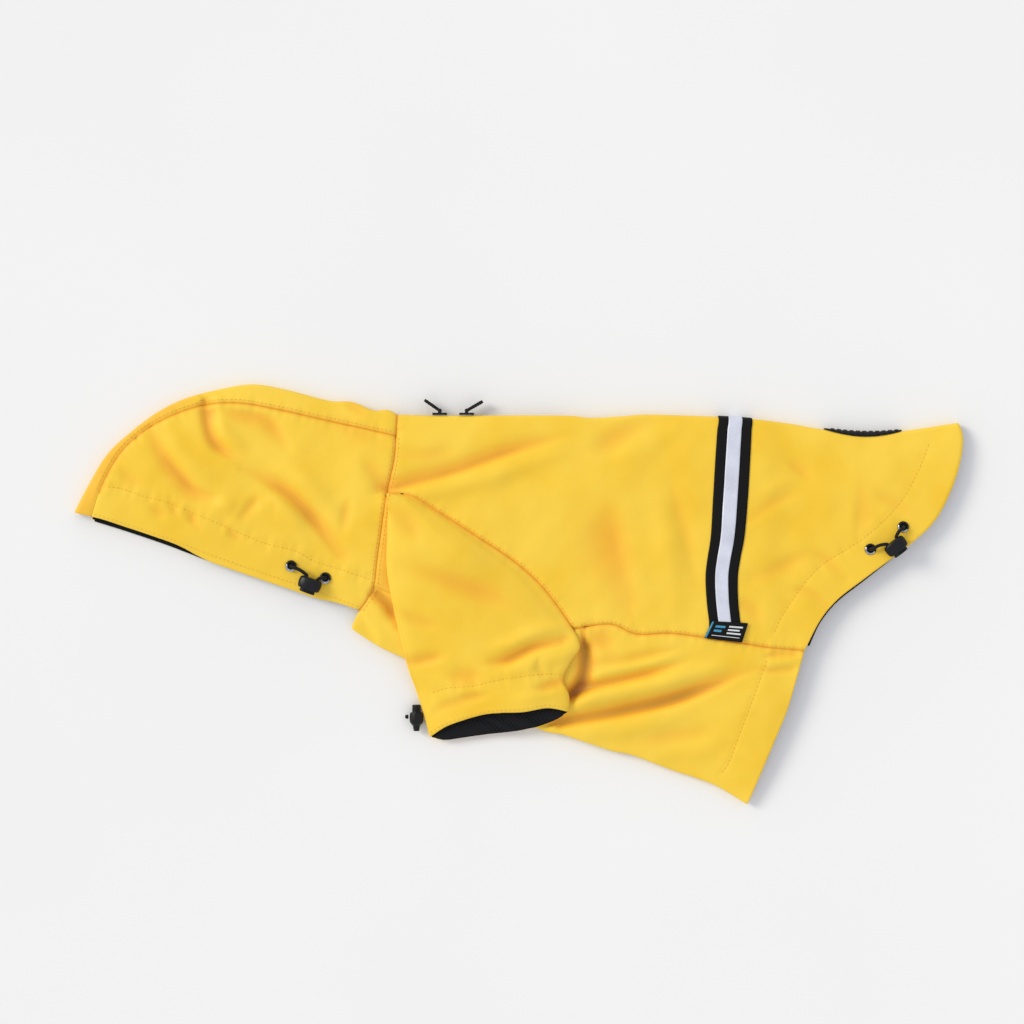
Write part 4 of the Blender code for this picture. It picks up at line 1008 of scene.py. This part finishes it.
def sleeve_plan(inset):
    """Plans of a flattened sleeve's upper and under wall, from the armhole to the cuff."""
    back = joined(run(RAGLAN, ARMHOLE_ROWS * SLEEVE_FINE), run(SLEEVE_BACK, 5 * SLEEVE_FINE))
    front = run([(-97.5, 73.6)] + SLEEVE_FRONT, SLEEVE_ROWS * SLEEVE_FINE)
    behind = run(SLEEVE_BACK, 5 * SLEEVE_FINE) + (-0.9, -0.3)
    behind[:SLEEVE_FINE] = np.linspace(UNDER_INNER[-1], behind[SLEEVE_FINE], SLEEVE_FINE, endpoint=False)
    inner_back = joined(run(UNDER_INNER, ARMHOLE_ROWS * SLEEVE_FINE), behind)
    start = np.linspace(back[0], front[0], UPPER_CELLS + 1)
    under_start = np.linspace(inner_back[0], front[0], UNDER_CELLS + 1)
    upper = patch(back, front, start, run(CUFF_UPPER, UPPER_CELLS))
    under = patch(inner_back, front, under_start, run(CUFF_LOWER, UNDER_CELLS))
    upper = trim(upper, inset - 0.3, sleeve_bulge() + inset, 0, inset)
    under = trim(under, inset, sleeve_bulge() + inset, 0, inset)
    return upper, under


def sleeve_slack(x, y):
    """Waves, folds and puckers of the sleeve."""
    slack = 0.5 * waves(x, y, 58, 21) + 0.25 * waves(x, y, 21, 23)
    return slack + relief(x, y, SLEEVE_FOLDS) + puckers(x, y, [CUFF_ROW, RAGLAN])


def near_sleeve():
    """Grid of the left sleeve."""
    upper, under = sleeve_plan(0)
    k = (np.arange(len(upper)) / SLEEVE_FINE)[:, None]
    share = np.linspace(0, 1, UPPER_CELLS + 1)[None]
    open_edge = SLEEVE_EDGE * ramp(k, 9.5, 13)
    swell = SLEEVE_PUFF * ramp(k, 0, 5) * (1 + 0.35 * ramp(k, 11, 16))
    rise = open_edge + (SLEEVE_EDGE - open_edge) * ramp(share, 0, 0.35)
    rise = rise + swell * (4 * share * (1 - share)) ** 0.7
    x, y = upper[..., 0], upper[..., 1]
    calm = ramp(share, 0, 0.06) * ramp(share, 1.0, 0.9) * ramp(k, 0, 1.5)
    over = body_support(x, y) + rise + sleeve_slack(x, y) * (0.25 + 0.75 * calm)
    sewn = (1 - ramp(share, 0, 0.12)) * (1 - ramp(k, 10.2, 11.4))
    over = over + (body_top(x, y) - over) * sewn
    over = np.concatenate([upper, over[..., None]], axis=-1)
    tip = upper[:, -1]
    base = body_support(tip[:, 0], tip[:, 1])
    angles = np.tile(np.linspace(90, -90, 2 * ARC_STEPS + 1)[1:-1], (len(upper), 1))
    turn = fold_arc(tip, upper[:, -2], sleeve_bulge(), over[:, -1, 2], base + SLEEVE_LAY, angles)
    low = raised(under, lambda x, y: body_support(x, y) + SLEEVE_LAY)
    return np.concatenate([over, turn, low[:, ::-1]], axis=1)


def far_sleeve():
    """Right sleeve, pressed flat under the body, its upper wall facing the surface."""
    upper, under = sleeve_plan(1.5)
    tip = upper[:, -1]
    base = far_height(tip[:, 0])
    k = (np.arange(len(upper)) / SLEEVE_FINE)[:, None]
    share = np.linspace(0, 1, UPPER_CELLS + 1)[None]
    open_edge = FAR_SLEEVE * ramp(k, 9.5, 13)
    rise = open_edge + (FAR_SLEEVE - open_edge) * ramp(share, 0, 0.35)
    over = np.concatenate([upper, (far_height(upper[..., 0]) - rise)[..., None]], axis=-1)
    angles = np.tile(np.linspace(-90, 90, 2 * ARC_STEPS + 1)[1:-1], (len(upper), 1))
    turn = fold_arc(tip, upper[:, -2], sleeve_bulge(), base - LAY_GAP - 0.05, base - FAR_SLEEVE, angles)
    low = raised(under, lambda x, y: far_height(x) - LAY_GAP - 0.05)
    return np.concatenate([over, turn, low[:, ::-1]], axis=1)[:, ::-1]


def yoke_grid():
    """The sleeve's own cloth between its front fold and the neck seam."""
    top = np.linspace((-97.6, 76.6), (-90, 73), 9)
    low = np.linspace((-107.5, 6), (-90, -1.5), 9)
    plan = patch(top, low, run(NECK, 44, 3, 6), run(YOKE_INNER, 44))
    return raised(trim(plan, SEAM_GAP, SEAM_GAP, NECK_GAP / 2, 0), body_top)


def strip_along(curve, cells, outward, inward, height, rows=6):
    """A strip along an edge, reaching past it on one side and in under it on the other."""
    points = run(curve, cells)
    side = unit(np.gradient(points, axis=0)[:, ::-1] * (-1, 1))
    share = np.linspace(0, 1, rows + 1)[None, :, None]
    plan = (points + side * inward)[:, None] * (1 - share) + (points - side * outward)[:, None] * share
    return raised(plan, height)


def over_far(x, y):
    """Height of cloth that lies on the lining of the far half."""
    return far_height(x) + CLOTH + LAY_GAP + LINING + 0.12 * waves(x, y, 9, 31)


def cloth(node, grid, thickness, sides, painted_shade_at):
    """A shell panel: its sewn sides turned in, yellow outside and mesh inside."""
    # painted shade of each point's crease
    painted_shade_amount = painted_shade_at(grid[..., 0], grid[..., 1])
    obj = wall(node + "_cloth", rolled(grid, sides), thickness, SHELL, MESH, (node,), painted_shade_amount)
    return obj


def build_shell():
    """The nine shell panels, and the grids that later pieces lie on."""
    left, right = back_grids()
    chest = chest_grid()
    sleeve = near_sleeve()
    # each piece: grid, thickness, sewn sides, and the painted shade of its creases
    pieces = {
        "back_left": (left, CLOTH, ("bottom", "left"), body_painted_shade),
        "back_right": (right, CLOTH, ("top", "left"), no_painted_shade),
        "chest_panel": (chest, CLOTH, ("top", "left", "bottom"), body_painted_shade),
        "hood_side_left": (hood_side(near_lip, body_top), CLOTH, ("top", "left", "right"), body_painted_shade),
        "hood_side_right": (hood_side(far_lip, far_side)[:, ::-1], CLOTH, ("bottom", "left", "right"),
                            no_painted_shade),
        "hood_crown": (crown_grid(), CLOTH, ("top", "bottom", "right"), crown_painted_shade),
        "sleeve_left": (sleeve, SLEEVE_CLOTH, ("top",), sleeve_painted_shade),
        "sleeve_right": (far_sleeve(), SLEEVE_CLOTH, (), no_painted_shade),
        "sleeve_left_yoke": (yoke_grid(), SLEEVE_CLOTH, ("left", "top"), yoke_painted_shade),
    }
    made = {}
    for node, (grid, thickness, sides, painted_shade_at) in pieces.items():
        made[node] = cloth(node, grid, thickness, sides, painted_shade_at)
    return left, right, sleeve, made


def build_linings(sleeve):
    """Black mesh lining where it shows: hood mouth, tail hem and left cuff."""
    mouth = [(-318, 58), (-291, 49.5), (-262, 39.6), (-223, 24.7), (-165, 4.8), (-150, -0.5)]
    tail = [(217.5, -38), (226, -20), (239, -4), (260, 12.6), (286, 33)]
    inside = moved(sleeve, -(SLEEVE_CLOTH + LAY_GAP))[-4 * SLEEVE_FINE - 1:, -UNDER_CELLS:-1]
    for name, grid, flat in (("hood_lining", strip_along(mouth, 110, 3, 14, over_far), (0.017, 0.18)),
                             ("hem_lining", strip_along(tail, 60, 2.6, 14, over_far), (0.0166, 0.10)),
                             ("cuff_lining", inside, (0.10, 0.05))):
        obj = wall(name + "_mesh", grid, LINING, MESH, MESH, (name,))


# =============================== sewn-on pieces ===============================
TAPE_THICK, STRIP_THICK, BADGE_THICK = 0.5, 0.3, 1.5
LABEL_LIFT, LABEL_THICK = 1.5, 0.6


# middle line of the tape on the near side, x at y
TAPE_MIDDLE = [(155.0, -20), (153.3, -4), (152.8, 14), (154.4, 27), (157.2, 44), (159.5, 74), (161.8, 110),
               (163.5, 134)]
TAPE_UNDER_LABEL = 4           # rows of the back left free between the tape's end and the side seam
TAPE_ROUND = 8                 # and between its far end and the far side seam


def tape_ground(left, right):
    """The back's points under the tape, moved sideways to its own gently bent line."""
    first, last = TAPE_FIRST * FINE, TAPE_LAST * FINE
    near = left[first:last + 1, :-TAPE_UNDER_LABEL].copy()
    x, y = near[..., 0], near[..., 1]
    bent = smooth_through(TAPE_MIDDLE)
    shift = np.interp(y, bent[:, 1], bent[:, 0]) - x.mean(axis=0, keepdims=True)
    shift *= ramp(y, 131, 124)
    near[..., 2] += body_top(x + shift, y) - body_top(x, y)
    near[..., 0] += shift
    return np.concatenate([right[first:last + 1, TAPE_ROUND:], near], axis=1)


def build_tape(left, right):
    """Reflective ribbon round the back, and the silver band along its middle."""
    ground = tape_ground(left, right)
    tape = wall("reflective_ribbon", moved(ground, LAY_GAP + TAPE_THICK), TAPE_THICK, WEBBING, WEBBING,
                ("reflective_tape",))
    high = moved(ground, 2 * LAY_GAP + TAPE_THICK + STRIP_THICK)
    columns = np.linspace(0.3, 0.7, 9) * (len(ground) - 1)
    whole = np.floor(columns).astype(int)
    part = (columns - whole)[:, None, None]
    band = high[whole] * (1 - part) + high[whole + 1] * part
    strip = wall("silver_band", band, STRIP_THICK, SILVER, SILVER, ("reflective_strip",))


LABEL = [(145.8, -19.8), (172.3, -21.4), (139.8, -32.2), (167.8, -35.6)]


def label_point(u, v):
    """A place on the label in plan, from shares of its two sides."""
    a, b, c, d = (np.array(p, float) for p in LABEL)
    return (a * (1 - u) + b * u) * (1 - v) + (c * (1 - u) + d * u) * v


def label_height(x, y):
    """Height of the label's upper face."""
    return near_height(x, y) + LABEL_LIFT + LABEL_THICK + 0.25 * waves(x, y, 22, 41)


def label_patch(u0, u1, v0, v1, cells=12, rows=6):
    """A part of the label as a grid, between shares."""
    plan = np.array([[label_point(u, v) for v in np.linspace(v0, v1, rows + 1)]
                     for u in np.linspace(u0, u1, cells + 1)])
    return raised(plan, label_height)


def build_label():
    """Woven label over the tape's end, with plain bars in blue and white and a blue selvedge."""
    label = wall("woven_label_cloth", label_patch(0, 1, 0, 1, 36, 18), LABEL_THICK, LABEL_BLACK, LABEL_BLACK,
                 ("woven_label",))
    marks = [(LABEL_BLUE, [(0.0, 0.045, 0.02, 0.98), (0.15, 0.42, 0.22, 0.34), (0.15, 0.36, 0.46, 0.58)]),
             (LABEL_WHITE, [(0.52, 0.90, 0.20, 0.28), (0.52, 0.84, 0.38, 0.46), (0.52, 0.90, 0.56, 0.64),
                            (0.15, 0.90, 0.78, 0.81)])]
    for number, (yarn, boxes) in enumerate(marks):
        parts = []
        for box in boxes:
            corners, faces, _ = wall_mesh(moved(label_patch(*box), 0.14), 0.1)
            parts.append((corners, faces))
        corners, faces = together(parts)
        make(f"label_bars_{number}", corners, faces, [yarn], smooth=180)


def build_badge(left, right):
    """Soft rubber badge bent over the spine, with plain ribs across it."""
    first, last = BADGE_FIRST * FINE, BADGE_LAST * FINE
    ends = (np.sin(np.linspace(0, math.pi, last - first + 1)) ** 0.6 * 0.8 + 0.2)[:, None]
    near = left[first:last + 1, :ARC_STEPS]
    rows = np.arange(ARC_STEPS) * ends
    whole = np.floor(rows).astype(int)
    part = (rows - whole)[..., None]
    each = np.arange(len(near))[:, None]
    near = near[each, whole] * (1 - part) + near[each, np.minimum(whole + 1, ARC_STEPS - 1)] * part
    ground = np.concatenate([right[first:last + 1, -(ARC_STEPS // 2):], near], axis=1)
    base = wall_mesh(moved(ground, LAY_GAP + BADGE_THICK * 0.6), BADGE_THICK * 0.6)
    parts = [base[:2]]
    count = last - first
    for middle in range(2, count - 1, 2):
        rib = moved(ground, LAY_GAP + BADGE_THICK)[middle:middle + 2, 1:-1]
        corners, faces, _ = wall_mesh(rib, BADGE_THICK * 0.5, 0.2)
        parts.append((corners, faces))
    corners, faces = together(parts)
    make("tail_badge_rubber", corners, faces, [RUBBER], replaces=("tail_badge",), smooth=50)


# =============================== hard pieces ===============================
# outlines of the moulded pieces: place along the axis, half width and half height
LOCK_RINGS = [(-4.7, 0.0, 0.0), (-4.7, 5.6, 2.8), (-4.3, 7.6, 3.8), (-2.6, 8.8, 4.2), (1.6, 8.8, 4.2),
              (4.4, 7.9, 3.6), (4.4, 6.4, 2.9), (3.8, 6.3, 2.8), (-0.8, 6.3, 2.8), (-0.8, 0.0, 0.0)]
BUTTON_RINGS = [(1.9, 0.0, 0.0), (1.9, 5.95, 2.45), (6.6, 5.95, 2.45), (7.2, 5.0, 1.8), (7.2, 0.0, 0.0)]
CUFF_LOCK_RINGS = [(-8.7, 0.0, 0.0), (-8.7, 1.9, 1.9), (-8.4, 2.3, 2.3), (-4.6, 2.6, 2.5), (-3.4, 4.2, 3.8),
                   (-1.2, 5.4, 4.8), (4.8, 5.0, 4.6), (5.3, 4.6, 4.2), (5.3, 3.8, 3.4), (4.8, 3.7, 3.3),
                   (0.2, 3.7, 3.3), (0.2, 0.0, 0.0)]
CUFF_BUTTON_RINGS = [(3.1, 0.0, 0.0), (3.1, 3.35, 2.95), (10.5, 3.35, 2.95), (11.2, 2.6, 2.2),
                     (11.2, 0.0, 0.0)]
KNOT_RINGS = [(-1.4, 0.0, 0.0), (-1.4, 0.8, 0.8), (-0.8, 1.6, 1.6), (0.0, 1.35, 1.4), (0.6, 1.8, 1.8),
              (1.2, 1.3, 1.3), (1.2, 0.0, 0.0)]
KNOT_PLACE = (-83.2, -92.2, 4.9)
GRIP_DEPTH = 0.35      # of the grooves round a button


def ribbed(rings, start, stop, count, depth):
    """Rings with small grooves round them between two places along the axis."""
    wide, high = rings[-3][1], rings[-3][2]
    grooves = []
    for k in range(count):
        middle = start + (stop - start) * (k + 0.5) / count
        for shift, cut in ((-0.3, 0), (0, depth), (0.3, 0)):
            grooves.append((middle + shift, wide - cut, high - cut))
    return rings[:2] + grooves + rings[2:]


def build_locks():
    """Cord locks: a hollow oval body each, and the sprung button in it with its grip grooves."""
    for name, centre, out, rings, button, grip in (
            ("hood", HOOD_LOCK, HOOD_LOCK_OUT, LOCK_RINGS, BUTTON_RINGS, (4.7, 6.5)),
            ("hem", HEM_LOCK, HEM_LOCK_OUT, LOCK_RINGS, BUTTON_RINGS, (4.7, 6.5)),
            ("cuff", CUFF_LOCK, (0.0, 1.0), CUFF_LOCK_RINGS, CUFF_BUTTON_RINGS, (5.8, 10.2))):
        corners, faces = lofted_mesh(centre, out, softened(rings, 3))
        make(name + "_lock_body", corners, faces, [NYLON], replaces=(name + "_lock",),
             smooth=45)
        count = 2 if name != "cuff" else 4
        corners, faces = lofted_mesh(centre, out, softened(ribbed(button, *grip, count, GRIP_DEPTH), 1))
        make(name + "_lock_plunger", corners, faces, [NYLON], name + "_button",
             (name + "_lock_button",), smooth=45)
    corners, faces = lofted_mesh(KNOT_PLACE, (1, 0), softened(KNOT_RINGS), 24)
    make("cuff_knot", corners, faces, [CORD], replaces=("cuff_cord_knot",), smooth=180)


# outline of an eyelet: radius, and height over the cloth
EYELET_OUTLINE = [(2.3, -0.6), (4.1, -0.6), (4.3, 0.0), (4.15, 0.35), (3.75, 0.72), (3.2, 0.9), (2.65, 0.72),
                  (2.3, 0.3), (2.15, -0.2)]
BARREL_RADIUS = 2.25
HIGHLIGHT_RING_FIRST, HIGHLIGHT_RING_LAST = 3, 7      # the rings of its profile that carry an eyelet's painted highlight in bright metal
HIGHLIGHT_TURN_FROM, HIGHLIGHT_TURN_TO = 0.42, 0.9    # and how far round the ring the painted highlight reaches


def build_eyelets():
    """Rolled metal rings in the casings, each with its dark barrel going down through the cloth."""
    for node in ("hood_eyelet_front", "hood_eyelet_rear", "hem_eyelet_upper", "hem_eyelet_lower"):
        low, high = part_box(node)
        x, y = (low[0] + high[0]) / 2 / MM, (low[1] + high[1]) / 2 / MM
        base, sides = low[2] / MM, 48
        corners, faces = [], []
        for radius, up in EYELET_OUTLINE:
            for s in range(sides):
                turn = math.tau * s / sides
                corners.append((x + radius * math.cos(turn), y + radius * math.sin(turn), base + up))
        rings = len(EYELET_OUTLINE)
        for r in range(rings):
            for s in range(sides):
                t = (s + 1) % sides
                one, two = r * sides, (r + 1) % rings * sides
                faces.append((one + s, one + t, two + t, two + s))
        # painted highlight: these faces take the bright metal, the rest of the ring black lacquer
        indices = [int(HIGHLIGHT_RING_FIRST <= r < HIGHLIGHT_RING_LAST and HIGHLIGHT_TURN_FROM <= s / sides <= HIGHLIGHT_TURN_TO)
                   for r in range(rings) for s in range(sides)]
        corners += [(x + BARREL_RADIUS * math.cos(math.tau * s / sides),
                     y + BARREL_RADIUS * math.sin(math.tau * s / sides), base + up)
                    for up in (-0.1, -0.5) for s in range(sides)]
        start = rings * sides
        faces.append(tuple(start + s for s in range(sides)))
        faces.append(tuple(start + sides + s for s in range(sides)))
        faces += [(start + s, start + (s + 1) % sides, start + sides + (s + 1) % sides, start + sides + s)
                  for s in range(sides)]
        indices += [2] * (sides + 2)
        make(node + "_ring", corners, faces, [LACQUER, HIGHLIGHT_METAL, MESH], replaces=(node,),
             indices=indices, smooth=60)


PIN_RISE = 3.5
SLIDERS = {"front": (-58.4, 145), "rear": (-38.2, 30)}
SLIDER_LONG, SLIDER_HIGH, SLIDER_THICK = 11.0, 7.0, 1.6
TAB_LONG, TAB_HALF, TAB_NECK_HALF, TAB_THICK = 14.0, 3.0, 1.9, 2.2


def spine_middle(x):
    """Point on the spine fold at mid height."""
    y = float(height_at(TOP_LINE, x))
    top, low = float(near_height(x, y - SPINE_BULGE)), float(far_height(x))
    return np.array((x, y, (top + low) / 2))


def block(low, high):
    """Corners and faces of a box between two corners."""
    points = [(x, y, z) for z in (low[2], high[2]) for x, y in ((low[0], low[1]), (high[0], low[1]),
                                                               (high[0], high[1]), (low[0], high[1]))]
    return points, [(0, 1, 2, 3), (4, 5, 6, 7), (0, 1, 5, 4), (1, 2, 6, 5), (2, 3, 7, 6), (3, 0, 4, 7)]


def bevelled(obj, width, segments=3):
    """Rounds a hard piece's edges."""
    step = obj.modifiers.new("round", "BEVEL")
    step.width = width * MM
    step.segments = segments
    step.limit_method = "ANGLE"
    step.angle_limit = math.radians(35)
    step.use_clamp_overlap = True
    return obj


def build_zip():
    """Closed coil zip between the two halves of the back: woven tape and its nylon teeth."""
    plan = body_plan()[:ZIP_CELLS * FINE + 1]
    x, y = plan[:, 0, 0], plan[:, 0, 1]
    middle = (near_height(x, y) + far_height(x)) / 2
    profile = [(-0.4, -2.3), (0.4, -2.3), (0.7, -0.9), (1.5, -1.0), (2.4, -1.25), (2.6, 0.0),
               (2.4, 1.25), (1.5, 1.0), (0.7, 0.9), (0.4, 2.3), (-0.4, 2.3)]
    corners, sides = [], len(profile)
    for px, py, pz in zip(x, y, middle):
        corners += [(px, py + out, pz + up) for out, up in profile]
    faces = [tuple(range(sides)), tuple(range(len(corners) - sides, len(corners)))]
    for k in range(len(x) - 1):
        low, high = k * sides, (k + 1) * sides
        faces += [(low + s, low + (s + 1) % sides, high + (s + 1) % sides, high + s) for s in range(sides)]
    tape = make("zip_tape", corners, faces, [WEBBING], replaces=("zip",), smooth=40)
    teeth = []
    pitch = 1.5
    places = np.arange(x[0] + 1, x[-1] - 1, pitch)
    for number, at in enumerate(places):
        py, pz = np.interp(at, x, y), np.interp(at, x, middle)
        lean = 0.2 if number % 2 else -0.2
        teeth.append(block((at - 0.48, py + 1.7, pz - 1.0 + lean), (at + 0.48, py + 3.0, pz + 1.0 + lean)))
    corners, faces = together(teeth)
    coil = bevelled(make("zip_teeth", corners, faces, [NYLON], smooth=30), 0.3, 2)
    return tape, coil


def build_sliders():
    """Zip sliders with their ears, and the ribbed rubber pull tabs that turn on them."""
    for name, (x, angle) in SLIDERS.items():
        seat = spine_middle(x)
        low_y, half = seat[1] + 0.25, SLIDER_HIGH / 2
        pin = seat + (0, PIN_RISE, 0)
        parts = [block((x - SLIDER_LONG / 2, low_y, seat[2] - half),
                       (x + SLIDER_LONG / 2, low_y + SLIDER_THICK, seat[2] + half))]
        for side in (-1, 1):
            z0, z1 = sorted((seat[2] + side * (half - 1.1), seat[2] + side * (half - 0.1)))
            parts.append(block((x - 1.3, low_y + SLIDER_THICK / 2, z0), (x + 1.3, pin[1] + 1.2, z1)))
        corners, faces = together(parts)
        bevelled(make("zip_slider_body_" + name, corners, faces, [LACQUER],
                      replaces=("zip_slider_" + name,), smooth=40), 0.35)
        build_tab(name, pin, math.radians(angle))


def build_tab(name, pin, angle):
    """A wide rubber plate on a narrow neck, with grip ribs on both faces and an eye at the pin."""
    half, neck = TAB_HALF, TAB_NECK_HALF
    outline = [(0.4, -neck), (3.2, -neck), (4.4, -half), (TAB_LONG - 1, -half), (TAB_LONG, -half + 1),
               (TAB_LONG, half - 1), (TAB_LONG - 1, half), (4.4, half), (3.2, neck), (0.4, neck)]
    thick = TAB_THICK / 2
    corners = [(r, side * thick, z) for side in (-1, 1) for r, z in outline]
    count = len(outline)
    faces = [tuple(range(count)), tuple(range(count, 2 * count))]
    faces += [(s, (s + 1) % count, count + (s + 1) % count, count + s) for s in range(count)]
    parts = [(corners, faces)]
    for k in range(4):
        r = 6.0 + k * 1.9
        parts.append(block((r - 0.35, -thick - 0.25, -half + 0.9), (r + 0.35, thick + 0.25, half - 0.9)))
    ring = []
    sides = 24
    for radius in (0.95, 1.5):
        for z in (-neck, neck):
            ring += [(radius * math.cos(math.tau * s / sides), radius * math.sin(math.tau * s / sides), z)
                     for s in range(sides)]
    ring_faces = []
    for one, two in ((0, 1), (1, 3), (3, 2), (2, 0)):
        ring_faces += [(one * sides + s, one * sides + (s + 1) % sides, two * sides + (s + 1) % sides,
                        two * sides + s) for s in range(sides)]
    parts.append((ring, ring_faces))
    corners, faces = together(parts)
    c, s = math.cos(angle), math.sin(angle)
    corners = [(pin[0] + x * c - y * s, pin[1] + x * s + y * c, pin[2] + z) for x, y, z in corners]
    bevelled(make("pull_tab_" + name, corners, faces, [RUBBER], name + "_pull",
                  ("zip_pull_" + name,), smooth=40), 0.3)


# =============================== topstitching ===============================
STITCH_PITCH, STITCH_LONG, STITCH_WIDE = 3.3, 2.6, 0.3
STITCH_DIP = 0.25      # how far a thread's ends go into the cloth
STITCH_JUMP = 1.6      # no stitch where the cloth under it steps by more than this
# rings of a thread: share of its length, lift over the cloth, share of its width
STITCH_RINGS = ((0.12, 0.0, 0.75), (0.4, 0.16, 1.0), (0.6, 0.16, 1.0), (0.88, 0.0, 0.75))


def offset_line(points, distance, step=2.0):
    """A line beside a curve, distance to its left."""
    dense = smooth_through(points, 12)
    line = run(points, max(2, int(lengths(dense)[-1] / step)))
    side = unit(np.gradient(line, axis=0)[:, ::-1] * (-1, 1))
    return line + side * distance


def build_stitches(shells):
    """Rows of lockstitch: each a short thread that bows up between two needle holes."""
    trees = []
    for obj in shells:
        trees.append(BVHTree.FromPolygons([v.co for v in obj.data.vertices],
                                          [p.vertices for p in obj.data.polygons]))

    def surface(x, y):
        """Height of the highest cloth at a place, None beside the coat."""
        best = None
        for tree in trees:
            hit = tree.ray_cast(Vector((x * MM, y * MM, 0.1)), Vector((0, 0, -1)))[0]
            if hit and (best is None or hit.z > best):
                best = hit.z
        return None if best is None else best / MM

    rows = [HOOD_CASING, offset_line(CROWN_SEAM[1:], 2.6), offset_line(NECK[1:], 2.2),
            offset_line(NECK[1:-1], -2.4), HEM_CASING, BELLY_CASING, offset_line(RAGLAN[1:], 1.9),
            offset_line(SIDE_SEAM, 2.0), CUFF_ROW, offset_line(CUFF_UPPER, -2.2),
            offset_line(FACE_EDGE, 2.2)]
    parts = []
    for row in rows:
        dense = smooth_through(row, 8) if len(row) < 30 else np.array(row)
        along = lengths(dense)
        for at in np.arange(1.0, along[-1] - STITCH_LONG, STITCH_PITCH):
            ends = [np.array([np.interp(at + part * STITCH_LONG, along, dense[:, c]) for c in (0, 1)])
                    for part in (0, 0.5, 1)]
            levels = [surface(*p) for p in ends]
            if None in levels or max(levels) - min(levels) > STITCH_JUMP:
                continue
            parts.append(one_stitch(ends, levels))
    corners, faces = together(parts)
    make("topstitching", corners, faces, [THREAD], smooth=180)


def one_stitch(points, levels):
    """A thread of four six-sided rings between its two needle holes."""
    start, middle, stop = (np.array([p[0], p[1], z]) for p, z in zip(points, levels))
    along = unit(stop - start)
    side = unit(np.array([-along[1], along[0], 0.0]))
    up = np.cross(along, side)
    corners, sides = [tuple(start - up * STITCH_DIP)], 6
    for share, lift, size in STITCH_RINGS:
        base = start * (1 - share) + stop * share
        base = base + (middle - (start + stop) / 2) * 4 * share * (1 - share) + up * lift
        for s in range(sides):
            turn = math.tau * s / sides
            corners.append(tuple(base + (side * math.cos(turn) + up * math.sin(turn)) * STITCH_WIDE * size))
    corners.append(tuple(stop - up * STITCH_DIP))
    last = len(corners) - 1
    faces = []
    for s in range(sides):
        t = (s + 1) % sides
        faces.append((0, 1 + s, 1 + t))
        faces += [(1 + r * sides + s, 1 + r * sides + t, 1 + (r + 1) * sides + t, 1 + (r + 1) * sides + s)
                  for r in range(3)]
        faces.append((last, last - sides + t, last - sides + s))
    return corners, faces


# =============================== the whole coat ===============================
def main():
    """Builds the coat on its stage, in the order that the pieces are sewn on."""
    build_stage()
    build_cords()
    left, right, sleeve, shells = build_shell()
    build_linings(sleeve)
    build_tape(left, right)
    build_label()
    build_badge(left, right)
    build_locks()
    build_eyelets()
    build_zip()
    build_sliders()
    build_stitches(list(shells.values()))


main()
